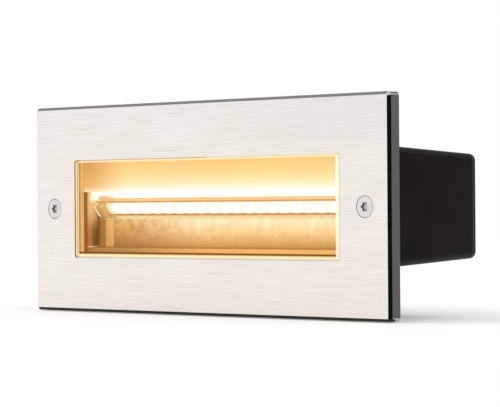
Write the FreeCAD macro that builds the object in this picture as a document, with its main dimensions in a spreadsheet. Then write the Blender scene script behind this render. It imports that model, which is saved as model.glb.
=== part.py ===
import FreeCAD
import Part

import os
import re

from FreeCAD import Placement, Rotation, Vector
from Sketcher import Constraint

# Brick-format step light: a lit faceplate unit that pulls out of a black box set in the wall.
# Frame: X to the right, Y into the wall, Z up. The origin is the middle of the box mouth,
# on the wall surface. Lengths in mm, angles in degrees.

SIZES = [
    # faceplate: a brushed stainless tray with a chamfered edge
    ("plateLength", 230.0), ("plateHeight", 98.0), ("plateDepth", 6.4), ("plateWall", 1.5),
    ("plateChamfer", 1.35), ("plateCorner", 2.0),
    ("sideBorder", 28.85), ("windowRim", 2.5), ("windowCorner", 1.0),
    ("studEdge", 40.0), ("studHeight", 36.0), ("studRadius", 1.45), ("studGap", 0.2),
    ("nutFlats", 5.5), ("nutHeight", 2.2), ("nutPocket", 3.4),
    # glass pane with a step all round, and its seal
    ("glassGap", 0.25), ("glassSetback", 1.0), ("glassThickness", 3.2), ("glassBevel", 1.0),
    ("glassLip", 3.0), ("windowSeal", 0.6), ("windowSealWidth", 2.2),
    # opal strip behind the upper part of the glass
    ("diffuserThickness", 1.0), ("diffuserEdge", 7.95), ("diffuserMargin", 0.6),
    ("diffuserOverlap", 1.0),
    # front frame behind the faceplate
    ("frameGap", 0.4), ("openingInset", 2.25), ("openingRim", 5.8), ("pocketGap", 0.3),
    ("bossRise", 1.1), ("wallGasket", 1.0), ("unitClearance", 0.8), ("endClearance", 2.1),
    # wall box
    ("boxInset", 8.0), ("boxHeight", 53.0), ("boxDepth", 65.6), ("boxDraft", 2.78),
    ("boxWall", 2.2), ("boxRearWall", 2.5), ("boxRearRound", 2.8), ("boxCorner", 3.2),
    ("pillarRadius", 5.0), ("pillarLength", 25.0), ("pillarRib", 6.0),
    ("insertRadius", 3.4), ("insertLength", 10.0), ("insertSet", 1.0), ("threadRadius", 2.5),
    ("runOutGap", 0.3), ("runOutDepth", 2.0),
    # countersunk cover screws
    ("screwEdge", 14.3), ("screwHeadRadius", 4.6), ("screwHeadGap", 0.22),
    ("screwLength", 25.0), ("screwTip", 0.8), ("screwPlay", 0.05), ("screwRim", 0.35),
    ("socketDepth", 1.7),
    ("socketCore", 1.55), ("socketLobe", 0.6), ("retainerRadius", 4.4), ("retainerThickness", 0.8),
    ("retainerGap", 0.3),
    # reflector sheet
    ("reflectorSheet", 0.8), ("reflectorDepth", 6.9), ("floorRise", 1.9),
    ("reflectorRise", 0.7), ("reflectorLip", 2.3), ("reflectorDrop", 3.4), ("reflectorEndDrop", 0.4),
    ("reflectorGap", 0.25),
    # light source on its tilted carrier
    ("boardTopDepth", 1.1), ("boardTopHeight", 3.13), ("boardTilt", 36.8), ("boardWidth", 9.92),
    ("boardThickness", 1.6), ("boardEndGap", 4.5), ("chipPitch", 7.5), ("chipLength", 3.5),
    ("chipWidth", 2.8), ("chipThickness", 0.8), ("chipRow", 3.6), ("rowInset", 8.15),
    ("lensWidth", 6.0), ("lensThickness", 2.0), ("lensGap", 0.15),
    ("connectorLength", 5.6), ("connectorWidth", 6.0), ("connectorThickness", 2.6),
    ("connectorInset", 3.5), ("connectorAlong", 3.7),
    ("boardScrewRadius", 1.1), ("boardScrewHead", 0.5), ("boardScrewEdge", 1.7),
    ("boardScrewShank", 0.8), ("boardScrewGrip", 2.5),
    ("shelfGap", 0.2), ("shelfHeight", 0.5), ("shelfLip", 0.3), ("carrierDepth", 11.2),
    ("carrierHeel", 0.85), ("carrierFoot", 11.2), ("carrierWall", 1.8),
    ("carrierScrewInset", 4.4), ("carrierScrewDrop", 8.0), ("carrierScrewReach", 6.0),
    # sealed lamp housing
    ("housingWall", 2.0), ("housingDepth", 32.7), ("housingRearRound", 1.5), ("housingCorner", 2.5),
    ("housingSeal", 0.8), ("housingSealWidth", 0.9), ("sealInset", 0.1), ("housingSlack", 0.1),
    ("flangeThickness", 2.0), ("sheetGap", 0.7), ("housingScrewInset", 3.0),
    ("housingScrewHeight", 14.0), ("housingScrewReach", 2.2),
    ("screwThree", 1.45), ("screwThreeHead", 2.7), ("screwThreeHeadHeight", 1.8),
    ("passGap", 0.2), ("sinkGap", 0.1), ("fitPlay", 0.05), ("tipGap", 0.2),
    ("ledgeLength", 12.0), ("ledgeHeight", 9.0),
    # driver, leads and terminals
    ("driverLength", 112.0), ("driverHeight", 28.0), ("driverDepth", 17.0), ("driverCorner", 2.0),
    ("driverFootLength", 6.0), ("driverFootThickness", 2.0), ("driverFootHeight", 12.0),
    ("leadRadius", 0.65), ("leadSpacing", 2.0), ("leadBend", 6.5), ("leadHoleRadius", 2.4),
    ("leadHoleInset", 4.9), ("leadHoleHeight", 1.2), ("leadDepth", 21.0),
    ("supplyRadius", 2.0), ("supplyBend", 9.5), ("supplyStub", 1.0), ("supplyHeight", 5.0),
    ("supplyRun", 8.0), ("glandFlats", 12.0), ("glandFlange", 2.5), ("glandNose", 3.0),
    ("glandNoseRadius", 4.4), ("glandShankRadius", 4.9), ("capFlats", 12.0), ("capLength", 5.0),
    ("sealRadius", 3.2), ("sealPlay", 0.02), ("capMouthGap", 0.3),
    ("terminalLength", 34.0), ("terminalHeight", 20.0), ("terminalDepth", 22.5),
    ("terminalCentre", -6.0), ("terminalPitch", 9.6), ("terminalScrewRadius", 1.9),
    ("terminalScrewSet", 1.2), ("terminalScrewHeight", 1.2), ("terminalFloor", 3.0),
    ("terminalEntryRadius", 2.1), ("terminalEntryDepth", 7.0),
    ("earthOffset", 7.0), ("earthRadius", 2.0), ("earthHeadRadius", 3.6), ("earthHeadHeight", 2.4),
    ("slotWidth", 0.6), ("slotDepth", 0.5),
    # cable entries of the wall box
    ("entryAcross", 70.0), ("entryRadius", 8.0), ("entryLip", 2.5), ("entryLipThickness", 1.5),
    ("cableRadius", 4.0),
]

# Sizes that follow from others: each keeps to its neighbour by a named border, gap or offset
DERIVED = [
    ("windowLength", "plateLength - 2 * sideBorder"),
    ("screwSpacing", "plateLength - 2 * screwEdge"),
    ("studSpacing", "plateLength / 2 - studEdge"),
    ("boxLength", "plateLength - 2 * boxInset"),
    ("openingLength", "windowLength - 2 * openingInset"),
    ("openingHeight", "boxHeight - 2 * openingRim"),
    ("windowHeight", "openingHeight + 2 * windowRim"),
    ("reflectorFloor", "openingHeight / 2 - floorRise"),
    ("reflectorTop", "openingHeight / 2 - reflectorEndDrop"),
    ("boardLength", "openingLength - 2 * boardEndGap"),
    ("connectorAcross", "connectorInset - boardLength / 2"),
    ("supplyAcross", "driverLength / 2 + supplyStub + supplyBend"),
    ("earthAcross", "(driverLength + driverFootLength) / 2 - earthOffset"),
]

POLES = 3
SOCKET_LOBES = 6
SIDES = ("Left", "Right")
ALIASES = {name for name, _ in SIZES + DERIVED}

doc = FreeCAD.newDocument("StepLight")
sheet = doc.addObject("Spreadsheet::Sheet", "Sizes")
cells = [(name, str(value)) for name, value in SIZES]
cells += [(name, "=" + formula) for name, formula in DERIVED]
for row, (alias, content) in enumerate(cells, start=1):
    sheet.set("A%d" % row, alias)
    sheet.set("B%d" % row, content)
    sheet.setAlias("B%d" % row, alias)
doc.recompute()

# Places along the depth, front to back, worked out from the sizes above
PLATE_FRONT = "(0 - plateDepth)"
PLATE_BACK = "(0 - plateDepth + plateWall)"
GLASS_FRONT = "(0 - plateDepth + glassSetback)"
GLASS_STEP = "(0 - plateDepth + plateWall + windowSeal)"
GLASS_BACK = "(0 - plateDepth + glassSetback + glassThickness)"
FRAME_BACK = "(0 - wallGasket)"
BOSS_BACK = "(bossRise - wallGasket)"
HOUSING_FRONT = "(bossRise - wallGasket + housingSeal)"
HOUSING_BACK = "(bossRise - wallGasket + housingSeal + housingDepth)"
REFLECTOR_BACK = "(bossRise - wallGasket + reflectorDepth)"
CARRIER_FRONT = "(%s + diffuserThickness + shelfGap)" % GLASS_BACK
CARRIER_BACK = "(%s + carrierDepth)" % CARRIER_FRONT

# Spans across the unit
POCKET_LENGTH = "(windowLength + 2 * glassLip)"
POCKET_HEIGHT = "(windowHeight + 2 * glassLip)"
BOSS_LENGTH = "(screwSpacing - 2 * pillarRadius - 2 * endClearance)"
BOSS_HEIGHT = "(boxHeight - 2 * boxWall - 2 * unitClearance)"
HOUSING_INNER = "(openingLength + 2 * reflectorSheet + 2 * sheetGap)"
HOUSING_LENGTH = "(openingLength + 2 * reflectorSheet + 2 * sheetGap + 2 * housingWall)"
HOUSING_HEIGHT = "(boxHeight - 2 * boxWall - 2 * unitClearance - 2 * housingSlack)"
STRIP_TOP = "(boxHeight / 2 - boxWall - unitClearance - diffuserMargin)"
STRIP_LENGTH = "(windowLength + 2 * diffuserOverlap)"

# Corners of the tilted board, as (depth, height)
BOARD_BOTTOM = ("(boardTopDepth + boardWidth * sin(boardTilt * 1 deg))",
                "(boardTopHeight - boardWidth * cos(boardTilt * 1 deg))")
BOARD_REAR_TOP = ("(boardTopDepth + boardThickness * cos(boardTilt * 1 deg))",
                  "(boardTopHeight + boardThickness * sin(boardTilt * 1 deg))")


def bound(expression):
    """Names of sizes in an expression, read as cells of the sheet."""
    return re.sub(r"[A-Za-z]\w*",
                  lambda word: ("Sizes." if word.group(0) in ALIASES else "") + word.group(0), str(expression))


def bind(thing, **properties):
    """Bind properties of an object to expressions; double underscores stand for dots."""
    for name, expression in properties.items():
        thing.setExpression(name.replace("__", "."), bound(expression))


def place(thing, x="0", y="0", z="0"):
    bind(thing, Placement__Base__x=x, Placement__Base__y=y, Placement__Base__z=z)


def block(name, length, depth, height, x="0", y="0", z="0"):
    """A block centred on x and z that runs back from depth y."""
    box = doc.addObject("Part::Box", name)
    bind(box, Length=length, Width=depth, Height=height)
    place(box, "%s - (%s) / 2" % (x, length), y, "%s - (%s) / 2" % (z, height))
    return box


def rod(name, radius, length, x="0", y="0", z="0"):
    """A round rod along the depth, that starts at depth y."""
    cylinder = doc.addObject("Part::Cylinder", name)
    cylinder.Placement = Placement(Vector(), Rotation(Vector(1, 0, 0), -90))
    bind(cylinder, Radius=radius, Height=length)
    place(cylinder, x, y, z)
    return cylinder


def taper(name, front_radius, back_radius, length, x="0", y="0", z="0"):
    """A cone along the depth, from one radius to another."""
    cone = doc.addObject("Part::Cone", name)
    cone.Placement = Placement(Vector(), Rotation(Vector(1, 0, 0), -90))
    bind(cone, Radius1=front_radius, Radius2=back_radius, Height=length)
    place(cone, x, y, z)
    return cone


def prism(name, flats, length, x="0", y="0", z="0"):
    """A hexagonal bar along the depth, given by its width across flats."""
    bar = doc.addObject("Part::Prism", name)
    bar.Polygon = 6
    bar.Placement = Placement(Vector(), Rotation(Vector(1, 0, 0), -90))
    bind(bar, Circumradius="(%s) / sqrt(3)" % flats, Height=length)
    place(bar, x, y, z)
    return bar


def drafted(body, kind, name, depth, length, height, thickness, narrowing):
    """A solid or a hollow, centred on the axis, whose four sides move in by the narrowing."""
    wedge = body.newObject("PartDesign::%sWedge" % kind, name)
    for axis, span in (("X", length), ("Z", height)):
        bind(wedge, **{axis + "min": "0 - (%s) / 2" % span, axis + "max": "(%s) / 2" % span,
                       axis + "2min": "%s - (%s) / 2" % (narrowing, span),
                       axis + "2max": "(%s) / 2 - %s" % (span, narrowing)})
    wedge.Ymin = 0
    bind(wedge, Ymax=thickness)
    place(wedge, "0", depth, "0")
    return wedge


def with_draft(depth):
    """How far a wall of the box or the housing moves in over a depth."""
    return "((%s) * tan(boxDraft * 1 deg))" % depth


def fuse(name, *parts):
    union = doc.addObject("Part::MultiFuse", name)
    union.Shapes = list(parts)
    union.Refine = True
    return union


def cut(name, base, *tools):
    whole = tools[0] if len(tools) == 1 else fuse(name + "Tools", *tools)
    result = doc.addObject("Part::Cut", name)
    result.Base = base
    result.Tool = whole
    result.Refine = True
    return result


def group(name, *parts):
    compound = doc.addObject("Part::Compound", name)
    compound.Links = list(parts)
    return compound


def piece(label, thing):
    thing.Label = label
    pieces.append(thing)
    return thing


def part_body(name):
    return doc.addObject("PartDesign::Body", name)


def plane_sketch(body, role, name, offset="0"):
    """A sketch on one of the body's own origin planes, moved along its normal."""
    sketch = body.newObject("Sketcher::SketchObject", name)
    plane = [item for item in body.Origin.OriginFeatures if item.Role == role][0]
    sketch.AttachmentSupport = [(plane, "")]
    sketch.MapMode = "FlatFace"
    bind(sketch, AttachmentOffset__Base__z=offset)
    return sketch


def centred_rectangle(sketch, length, height):
    """A rectangle centred on the sketch origin, with its sides bound to expressions."""
    corners = [Vector(-10, -5, 0), Vector(10, -5, 0), Vector(10, 5, 0), Vector(-10, 5, 0)]
    first = sketch.GeometryCount
    for start, end in zip(corners, corners[1:] + corners[:1]):
        sketch.addGeometry(Part.LineSegment(start, end), False)
    for side in range(4):
        sketch.addConstraint(Constraint("Coincident", first + side, 2, first + (side + 1) % 4, 1))
        sketch.addConstraint(Constraint("Horizontal" if side % 2 == 0 else "Vertical", first + side))
    sketch.addConstraint(Constraint("Symmetric", first, 1, first + 2, 1, -1, 1))
    for label, side, value, kind in (("Wide%d" % first, first, length, "DistanceX"),
                                     ("Tall%d" % first, first + 1, height, "DistanceY")):
        number = sketch.addConstraint(Constraint(kind, side, 1, side, 2, 20.0))
        sketch.renameConstraint(number, label)
        sketch.setExpression("Constraints." + label, bound(value))


def outline(sketch, points):
    """A closed outline through points, each held at two bound distances from the origin."""
    first = sketch.GeometryCount
    count = len(points)
    starts = [Vector(evaluate(a), evaluate(b), 0) for a, b in points]
    for start, end in zip(starts, starts[1:] + starts[:1]):
        sketch.addGeometry(Part.LineSegment(start, end), False)
    for side in range(count):
        sketch.addConstraint(Constraint("Coincident", first + side, 2, first + (side + 1) % count, 1))
    for side, (across, up) in enumerate(points):
        for kind, label, value in (("DistanceX", "Across%d" % (first + side), across),
                                   ("DistanceY", "Up%d" % (first + side), up)):
            number = sketch.addConstraint(Constraint(kind, -1, 1, first + side, 1, evaluate(value)))
            sketch.renameConstraint(number, label)
            sketch.setExpression("Constraints." + label, bound(value))


def evaluate(expression):
    """The number that an expression gives for the present sizes."""
    return float(sheet.evalExpression(re.sub(r"Sizes\.", "", bound(expression))))


def circles(sketch, radius, centres):
    for across, up in centres:
        number = sketch.addGeometry(Part.Circle(Vector(evaluate(across), evaluate(up), 0),
                                                Vector(0, 0, 1), evaluate(radius)), False)
        for kind, label, value in (("DistanceX", "CentreX%d" % number, across),
                                   ("DistanceY", "CentreY%d" % number, up)):
            index = sketch.addConstraint(Constraint(kind, -1, 1, number, 3, evaluate(value)))
            sketch.renameConstraint(index, label)
            sketch.setExpression("Constraints." + label, bound(value))
        index = sketch.addConstraint(Constraint("Radius", number, evaluate(radius)))
        sketch.renameConstraint(index, "Round%d" % number)
        sketch.setExpression("Constraints.Round%d" % number, bound(radius))


def pad(body, name, sketch, length):
    """Material from the sketch plane towards the back."""
    feature = body.newObject("PartDesign::Pad", name)
    feature.Profile = sketch
    feature.Reversed = True
    bind(feature, Length=length)
    return feature


def pocket(body, name, sketch, length):
    """A hollow from the sketch plane towards the back."""
    feature = body.newObject("PartDesign::Pocket", name)
    feature.Profile = sketch
    bind(feature, Length=length)
    return feature


def extrude_across(body, name, sketch, length):
    """Material on both sides of the middle plane, along X."""
    feature = body.newObject("PartDesign::Pad", name)
    feature.Profile = sketch
    feature.Midplane = True
    bind(feature, Length=length)
    return feature


def slab(body, name, depth, length, height, thickness):
    sketch = plane_sketch(body, "XZ_Plane", name + "Outline", "0 - (%s)" % depth)
    centred_rectangle(sketch, length, height)
    return pad(body, name, sketch, thickness)


def hollow(body, name, depth, length, height, thickness):
    sketch = plane_sketch(body, "XZ_Plane", name + "Outline", "0 - (%s)" % depth)
    centred_rectangle(sketch, length, height)
    return pocket(body, name, sketch, thickness)


def round_holes(body, name, depth, radius, centres, thickness):
    sketch = plane_sketch(body, "XZ_Plane", name + "Outline", "0 - (%s)" % depth)
    circles(sketch, radius, centres)
    return pocket(body, name, sketch, thickness)


def edges_where(feature, test):
    """Names of the edges of a feature whose middle point and direction pass the test."""
    doc.recompute()
    names = []
    for number, edge in enumerate(feature.Shape.Edges, start=1):
        middle = edge.valueAt((edge.FirstParameter + edge.LastParameter) / 2)
        ends = [vertex.Point for vertex in edge.Vertexes]
        span = ends[-1] - ends[0]
        if test(middle, span, edge):
            names.append("Edge%d" % number)
    return names


def rounded(body, name, feature, test, radius):
    fillet = body.newObject("PartDesign::Fillet", name)
    fillet.Base = (feature, edges_where(feature, test))
    bind(fillet, Radius=radius)
    return fillet


def bevelled(body, name, feature, test, size):
    chamfer = body.newObject("PartDesign::Chamfer", name)
    chamfer.Base = (feature, edges_where(feature, test))
    bind(chamfer, Size=size)
    return chamfer


def runs_back(middle, span, edge):
    """True for the edges that run from front to back."""
    return abs(span.y) > 0.9 * span.Length > 0


def at_depth(depth):
    """A test for edges that lie in one plane across the depth."""
    value = evaluate(depth)
    return lambda middle, span, edge: abs(middle.y - value) < NEAR and abs(span.y) < NEAR


def mirrored_pair(across, up):
    return [("0 - (%s)" % across, up), (across, up)]


def four_corners(across, up):
    return [(sign_x + "(%s)" % across, sign_z + "(%s)" % up)
            for sign_x in ("0 - ", "") for sign_z in ("0 - ", "")]


NEAR = 0.001             # how close an edge lies to the place it is looked for
pieces = []
SCREWS = mirrored_pair("screwSpacing / 2", "0")
STUDS = four_corners("studSpacing", "studHeight") + [("0", "studHeight"), ("0", "0 - studHeight")]
HOUSING_SCREWS = four_corners("%s / 2 - housingScrewInset" % BOSS_LENGTH, "housingScrewHeight")


# ---- faceplate -------------------------------------------------------------------------------

def make_faceplate():
    body = part_body("Faceplate")
    blank = slab(body, "Blank", PLATE_FRONT, "plateLength", "plateHeight", "plateDepth")
    corners = rounded(body, "Corners", blank, runs_back, "plateCorner")
    bevelled(body, "Rim", corners, at_depth(PLATE_FRONT), "plateChamfer")
    hollow(body, "Tray", PLATE_BACK, "plateLength - 2 * plateWall", "plateHeight - 2 * plateWall",
           "plateDepth - plateWall")
    window = hollow(body, "Window", PLATE_FRONT, "windowLength", "windowHeight", "plateWall")
    half = evaluate("windowLength") / 2
    rounded(body, "WindowCorners", window,
            lambda middle, span, edge: runs_back(middle, span, edge) and abs(abs(middle.x) - half) < NEAR,
            "windowCorner")
    radius = "screwHeadRadius + screwHeadGap - plateWall + screwRim"
    holes = round_holes(body, "ScrewHoles", PLATE_FRONT, radius, SCREWS, "plateWall")
    front = evaluate(PLATE_FRONT)
    bevelled(body, "Countersinks", holes,
             lambda middle, span, edge: abs(middle.y - front) < NEAR
             and edge.Curve.TypeId == "Part::GeomCircle" and abs(edge.Curve.Radius - evaluate(radius)) < NEAR,
             "plateWall - screwRim")
    piece("faceplate", body)


def make_plate_fixings():
    stud_length = "plateDepth - plateWall - wallGasket - studGap"
    piece("weld_studs", group("WeldStuds", *[
        rod("Stud%d" % n, "studRadius", stud_length, x, PLATE_BACK, z)
        for n, (x, z) in enumerate(STUDS)]))
    nut_front = "%s - studGap - nutHeight" % FRAME_BACK
    nuts = []
    for n, (x, z) in enumerate(STUDS):
        blank = prism("NutBlank%d" % n, "nutFlats", "nutHeight", x, nut_front, z)
        bore = rod("NutBore%d" % n, "studRadius + fitPlay", "nutHeight", x, nut_front, z)
        nuts.append(cut("Nut%d" % n, blank, bore))
    piece("stud_nuts", group("StudNuts", *nuts))


# ---- window ----------------------------------------------------------------------------------

def make_window():
    seal = part_body("WindowSeal")
    inner = "glassGap + sealInset"
    slab(seal, "SealSheet", PLATE_BACK, "windowLength + 2 * (%s + windowSealWidth)" % inner,
         "windowHeight + 2 * (%s + windowSealWidth)" % inner, "windowSeal")
    hollow(seal, "SealOpening", PLATE_BACK, "windowLength + 2 * (%s)" % inner,
           "windowHeight + 2 * (%s)" % inner, "windowSeal")
    piece("window_seal", seal)

    glass = part_body("GlassPane")
    slab(glass, "Flange", GLASS_STEP, POCKET_LENGTH, POCKET_HEIGHT,
         "glassThickness + glassSetback - plateWall - windowSeal")
    slab(glass, "Step", "%s + glassBevel" % GLASS_FRONT, "windowLength - 2 * glassGap",
         "windowHeight - 2 * glassGap", "plateWall + windowSeal - glassSetback - glassBevel")
    drafted(glass, "Additive", "Bevel", GLASS_FRONT, "windowLength - 2 * glassGap - 2 * glassBevel",
            "windowHeight - 2 * glassGap - 2 * glassBevel", "glassBevel", "(0 - glassBevel)")
    piece("glass_pane", glass)

    piece("diffuser_strip", block("DiffuserStrip", STRIP_LENGTH, "diffuserThickness",
                                  "%s - diffuserEdge" % STRIP_TOP, "0", GLASS_BACK,
                                  "(%s + diffuserEdge) / 2" % STRIP_TOP))


def make_front_frame():
    body = part_body("FrontFrame")
    thickness = "plateDepth - plateWall - wallGasket"
    slab(body, "FramePlate", PLATE_BACK, "plateLength - 2 * plateWall - 2 * frameGap",
         "plateHeight - 2 * plateWall - 2 * frameGap", thickness)
    slab(body, "Boss", FRAME_BACK, BOSS_LENGTH, BOSS_HEIGHT, "bossRise")
    hollow(body, "GlassSeat", PLATE_BACK, "%s + 2 * pocketGap" % POCKET_LENGTH,
           "%s + 2 * pocketGap" % POCKET_HEIGHT, "glassSetback + glassThickness - plateWall")
    hollow(body, "Opening", PLATE_BACK, "openingLength", "openingHeight", "%s + bossRise" % thickness)
    round_holes(body, "CoverScrewHoles", PLATE_BACK, "screwHeadRadius - plateWall + screwHeadGap",
                SCREWS, thickness)
    round_holes(body, "StudHoles", PLATE_BACK, "studRadius + studGap", STUDS, thickness)
    round_holes(body, "NutPockets", "%s - studGap - nutHeight" % FRAME_BACK, "nutPocket", STUDS,
                "studGap + nutHeight")
    round_holes(body, "HousingScrewHoles", "%s - housingScrewReach" % BOSS_BACK,
                "screwThree + fitPlay", HOUSING_SCREWS, "housingScrewReach")
    seat = block("DiffuserSeat", "%s + 2 * pocketGap" % STRIP_LENGTH, "diffuserThickness",
                 "%s - diffuserEdge + 2 * fitPlay" % STRIP_TOP, "0", GLASS_BACK,
                 "(%s + diffuserEdge) / 2" % STRIP_TOP)
    piece("front_frame", cut("FrontFrameFinished", body, seat))


def make_seals():
    gasket = part_body("WallGasket")
    slab(gasket, "GasketSheet", FRAME_BACK, "plateLength - 2 * plateWall - 4 * frameGap",
         "plateHeight - 2 * plateWall - 4 * frameGap", "wallGasket")
    hollow(gasket, "GasketOpening", FRAME_BACK, "%s + unitClearance" % BOSS_LENGTH,
           "%s + unitClearance" % BOSS_HEIGHT, "wallGasket")
    round_holes(gasket, "GasketScrewHoles", FRAME_BACK, "retainerRadius + retainerGap", SCREWS, "wallGasket")
    piece("wall_gasket", gasket)

    retainers = []
    for side, (x, z) in zip(SIDES, SCREWS):
        disc = rod("RetainerDisc" + side, "retainerRadius", "retainerThickness", x, FRAME_BACK, z)
        bore = rod("RetainerBore" + side, "threadRadius", "retainerThickness", x, FRAME_BACK, z)
        retainers.append(cut("Retainer" + side, disc, bore))
    piece("screw_retainers", group("ScrewRetainers", *retainers))

    ring = part_body("HousingSeal")
    slab(ring, "RingSheet", BOSS_BACK, "%s - 2 * sealInset" % HOUSING_LENGTH,
         "%s - 2 * sealInset" % HOUSING_HEIGHT, "housingSeal")
    hollow(ring, "RingOpening", BOSS_BACK, "%s - 2 * sealInset - 2 * housingSealWidth" % HOUSING_LENGTH,
           "%s - 2 * sealInset - 2 * housingSealWidth" % HOUSING_HEIGHT, "housingSeal")
    piece("housing_seal", ring)


# ---- wall box --------------------------------------------------------------------------------

def shell_with_round_edges(name, depth, length, height, thickness, corner_round, rear_round):
    """The outside of a tray that narrows to the back, with its long edges and rear edges rounded."""
    body = part_body(name)
    blank = drafted(body, "Additive", name + "Blank", depth, length, height, thickness, with_draft(thickness))
    corners = rounded(body, name + "Corners", blank, runs_back, corner_round)
    back = evaluate("%s + %s" % (depth, thickness))
    rounded(body, name + "Rear", corners, lambda middle, span, edge: abs(middle.y - back) < NEAR, rear_round)
    return body


def make_recess_box():
    """The hollow is cut round the screw pillars and their ribs, so these stay part of the box."""
    shell = shell_with_round_edges("BoxShell", "0", "boxLength", "boxHeight", "boxDepth",
                                   "boxCorner", "boxRearRound")
    inside = part_body("BoxInside")
    inner_depth = "(boxDepth - boxRearWall)"
    drafted(inside, "Additive", "BoxInsideBlank", "0", "boxLength - 2 * boxWall", "boxHeight - 2 * boxWall",
            inner_depth, with_draft(inner_depth))
    standing = []
    for side, sign, (x, z) in zip(SIDES, ("0 - ", ""), SCREWS):
        standing.append(rod("Pillar" + side, "pillarRadius", "pillarLength", x, "0", z))
        standing.append(block("Rib" + side, "(boxLength - screwSpacing) / 2", "pillarLength", "pillarRib",
                              "%s(boxLength + screwSpacing) / 4" % sign))
    cuts = [cut("BoxHollow", inside, *standing)]
    for side, (x, z) in zip(SIDES, SCREWS):
        cuts.append(rod("InsertHole" + side, "insertRadius + fitPlay", "insertSet + insertLength", x, "0", z))
        cuts.append(rod("RunOut" + side, "threadRadius + runOutGap", "screwLength - plateDepth + runOutDepth",
                        x, "0", z))
    for side, (x, z) in zip(SIDES, mirrored_pair("entryAcross", "0")):
        cuts.append(rod("EntryHole" + side, "entryRadius + fitPlay", "boxRearWall", x, inner_depth, z))
    piece("recess_box", cut("RecessBox", shell, *cuts))

    inserts = []
    for side, (x, z) in zip(SIDES, SCREWS):
        blank = rod("InsertBlank" + side, "insertRadius", "insertLength", x, "insertSet", z)
        bore = rod("InsertBore" + side, "threadRadius", "insertLength", x, "insertSet", z)
        inserts.append(cut("Insert" + side, blank, bore))
    piece("thread_inserts", group("ThreadInserts", *inserts))


def entry_plug(name, across):
    """A rubber bush that clips into the rear wall, with a lip on either side of it."""
    inside = rod(name + "Inside", "entryRadius + entryLip", "entryLipThickness", across,
                 "boxDepth - boxRearWall - entryLipThickness")
    waist = rod(name + "Waist", "entryRadius", "boxRearWall", across, "boxDepth - boxRearWall")
    outside = rod(name + "Outside", "entryRadius + entryLip", "entryLipThickness", across, "boxDepth")
    return fuse(name, inside, waist, outside)


def make_cable_entries():
    bore = rod("GrommetBore", "cableRadius", "boxRearWall + 2 * entryLipThickness", "0 - entryAcross",
               "boxDepth - boxRearWall - entryLipThickness")
    piece("cable_grommet", cut("CableGrommet", entry_plug("Grommet", "0 - entryAcross"), bore))
    piece("blanking_plug", entry_plug("BlankingPlug", "entryAcross"))


def make_cover_screw(side, x):
    """A countersunk screw with a lobed socket, flush with the faceplate."""
    shank_radius = "(threadRadius - screwPlay)"
    head = taper("Head" + side, "screwHeadRadius", shank_radius, "screwHeadRadius - %s" % shank_radius,
                 x, PLATE_FRONT)
    shank = rod("Shank" + side, shank_radius, "screwLength - screwTip", x, PLATE_FRONT)
    tip = taper("Tip" + side, shank_radius, "%s - screwTip" % shank_radius, "screwTip", x,
                "%s + screwLength - screwTip" % PLATE_FRONT)
    tools = [rod("Core" + side, "socketCore", "socketDepth", x, PLATE_FRONT)]
    for number in range(SOCKET_LOBES):
        turn = "%g * 1 deg" % (number * 360 / SOCKET_LOBES)
        tools.append(rod("Lobe%s%d" % (side, number), "socketLobe", "socketDepth",
                         "%s + socketCore * cos(%s)" % (x, turn), PLATE_FRONT,
                         "socketCore * sin(%s)" % turn))
    blank = fuse("Blank" + side, head, shank, tip)
    piece("cover_screw_" + side.lower(), cut("CoverScrew" + side, blank, *tools))


# ---- light source ----------------------------------------------------------------------------

def make_reflector():
    """A folded sheet: front lip, floor that rises to the back, back wall, and two ends."""
    body = part_body("ReflectorSheet")
    sketch = plane_sketch(body, "YZ_Plane", "ReflectorProfile")
    front = BOSS_BACK
    inner_floor = "(0 - reflectorFloor)"
    back_floor = "(reflectorRise - reflectorFloor)"
    wall_top = "(%s - reflectorGap)" % BOARD_BOTTOM[1]
    drop = "(0 - reflectorFloor - reflectorDrop)"
    outline(sketch, [
        (front, drop), ("%s + reflectorSheet" % front, drop),
        ("%s + reflectorSheet" % front, "%s - reflectorSheet" % inner_floor),
        ("%s + reflectorSheet" % REFLECTOR_BACK, "%s - reflectorSheet" % back_floor),
        ("%s + reflectorSheet" % REFLECTOR_BACK, wall_top), (REFLECTOR_BACK, wall_top),
        (REFLECTOR_BACK, back_floor), (front, inner_floor)])
    extrude_across(body, "Folded", sketch, "openingLength + 2 * reflectorSheet")
    parts = [body]
    tall = "reflectorTop + reflectorFloor"
    middle = "(reflectorTop - reflectorFloor) / 2"
    for side, sign in zip(SIDES, ("0 - ", "")):
        parts.append(block("ReflectorEnd" + side, "reflectorSheet", "reflectorDepth + reflectorSheet", tall,
                           "%s(openingLength / 2 + reflectorSheet / 2)" % sign, front, middle))
        parts.append(block("ReflectorLip" + side, "reflectorLip", "reflectorSheet",
                           "%s + reflectorDrop" % tall, "%s(openingLength / 2 + reflectorLip / 2)" % sign,
                           front, "%s - reflectorDrop / 2" % middle))
    piece("reflector", fuse("Reflector", *parts))


SLOPE_DOWN = ("sin(boardTilt * 1 deg)", "(0 - cos(boardTilt * 1 deg))")
SLOPE_OUT = ("(0 - cos(boardTilt * 1 deg))", "(0 - sin(boardTilt * 1 deg))")


def board_point(along, out):
    """A point at a distance down the board from its top edge, and out from its lit face."""
    return ("(boardTopDepth + (%s) * %s + (%s) * %s)" % (along, SLOPE_DOWN[0], out, SLOPE_OUT[0]),
            "(boardTopHeight + (%s) * %s + (%s) * %s)" % (along, SLOPE_DOWN[1], out, SLOPE_OUT[1]))


def on_board(name, across, along, length, width, thickness, rise="0"):
    """A block that lies on the tilted board; along runs down from the top edge to its middle."""
    box = doc.addObject("Part::Box", name)
    box.Placement = Placement(Vector(), Rotation(Vector(1, 0, 0), 1))
    bind(box, Length=length, Width=thickness, Height=width)
    depth, height = board_point("(%s) + (%s) / 2" % (along, width), "(%s) + (%s)" % (rise, thickness))
    place(box, "%s - (%s) / 2" % (across, length), depth, height)
    bind(box, Placement__Rotation__Angle="boardTilt * 1 deg")
    return box


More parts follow.
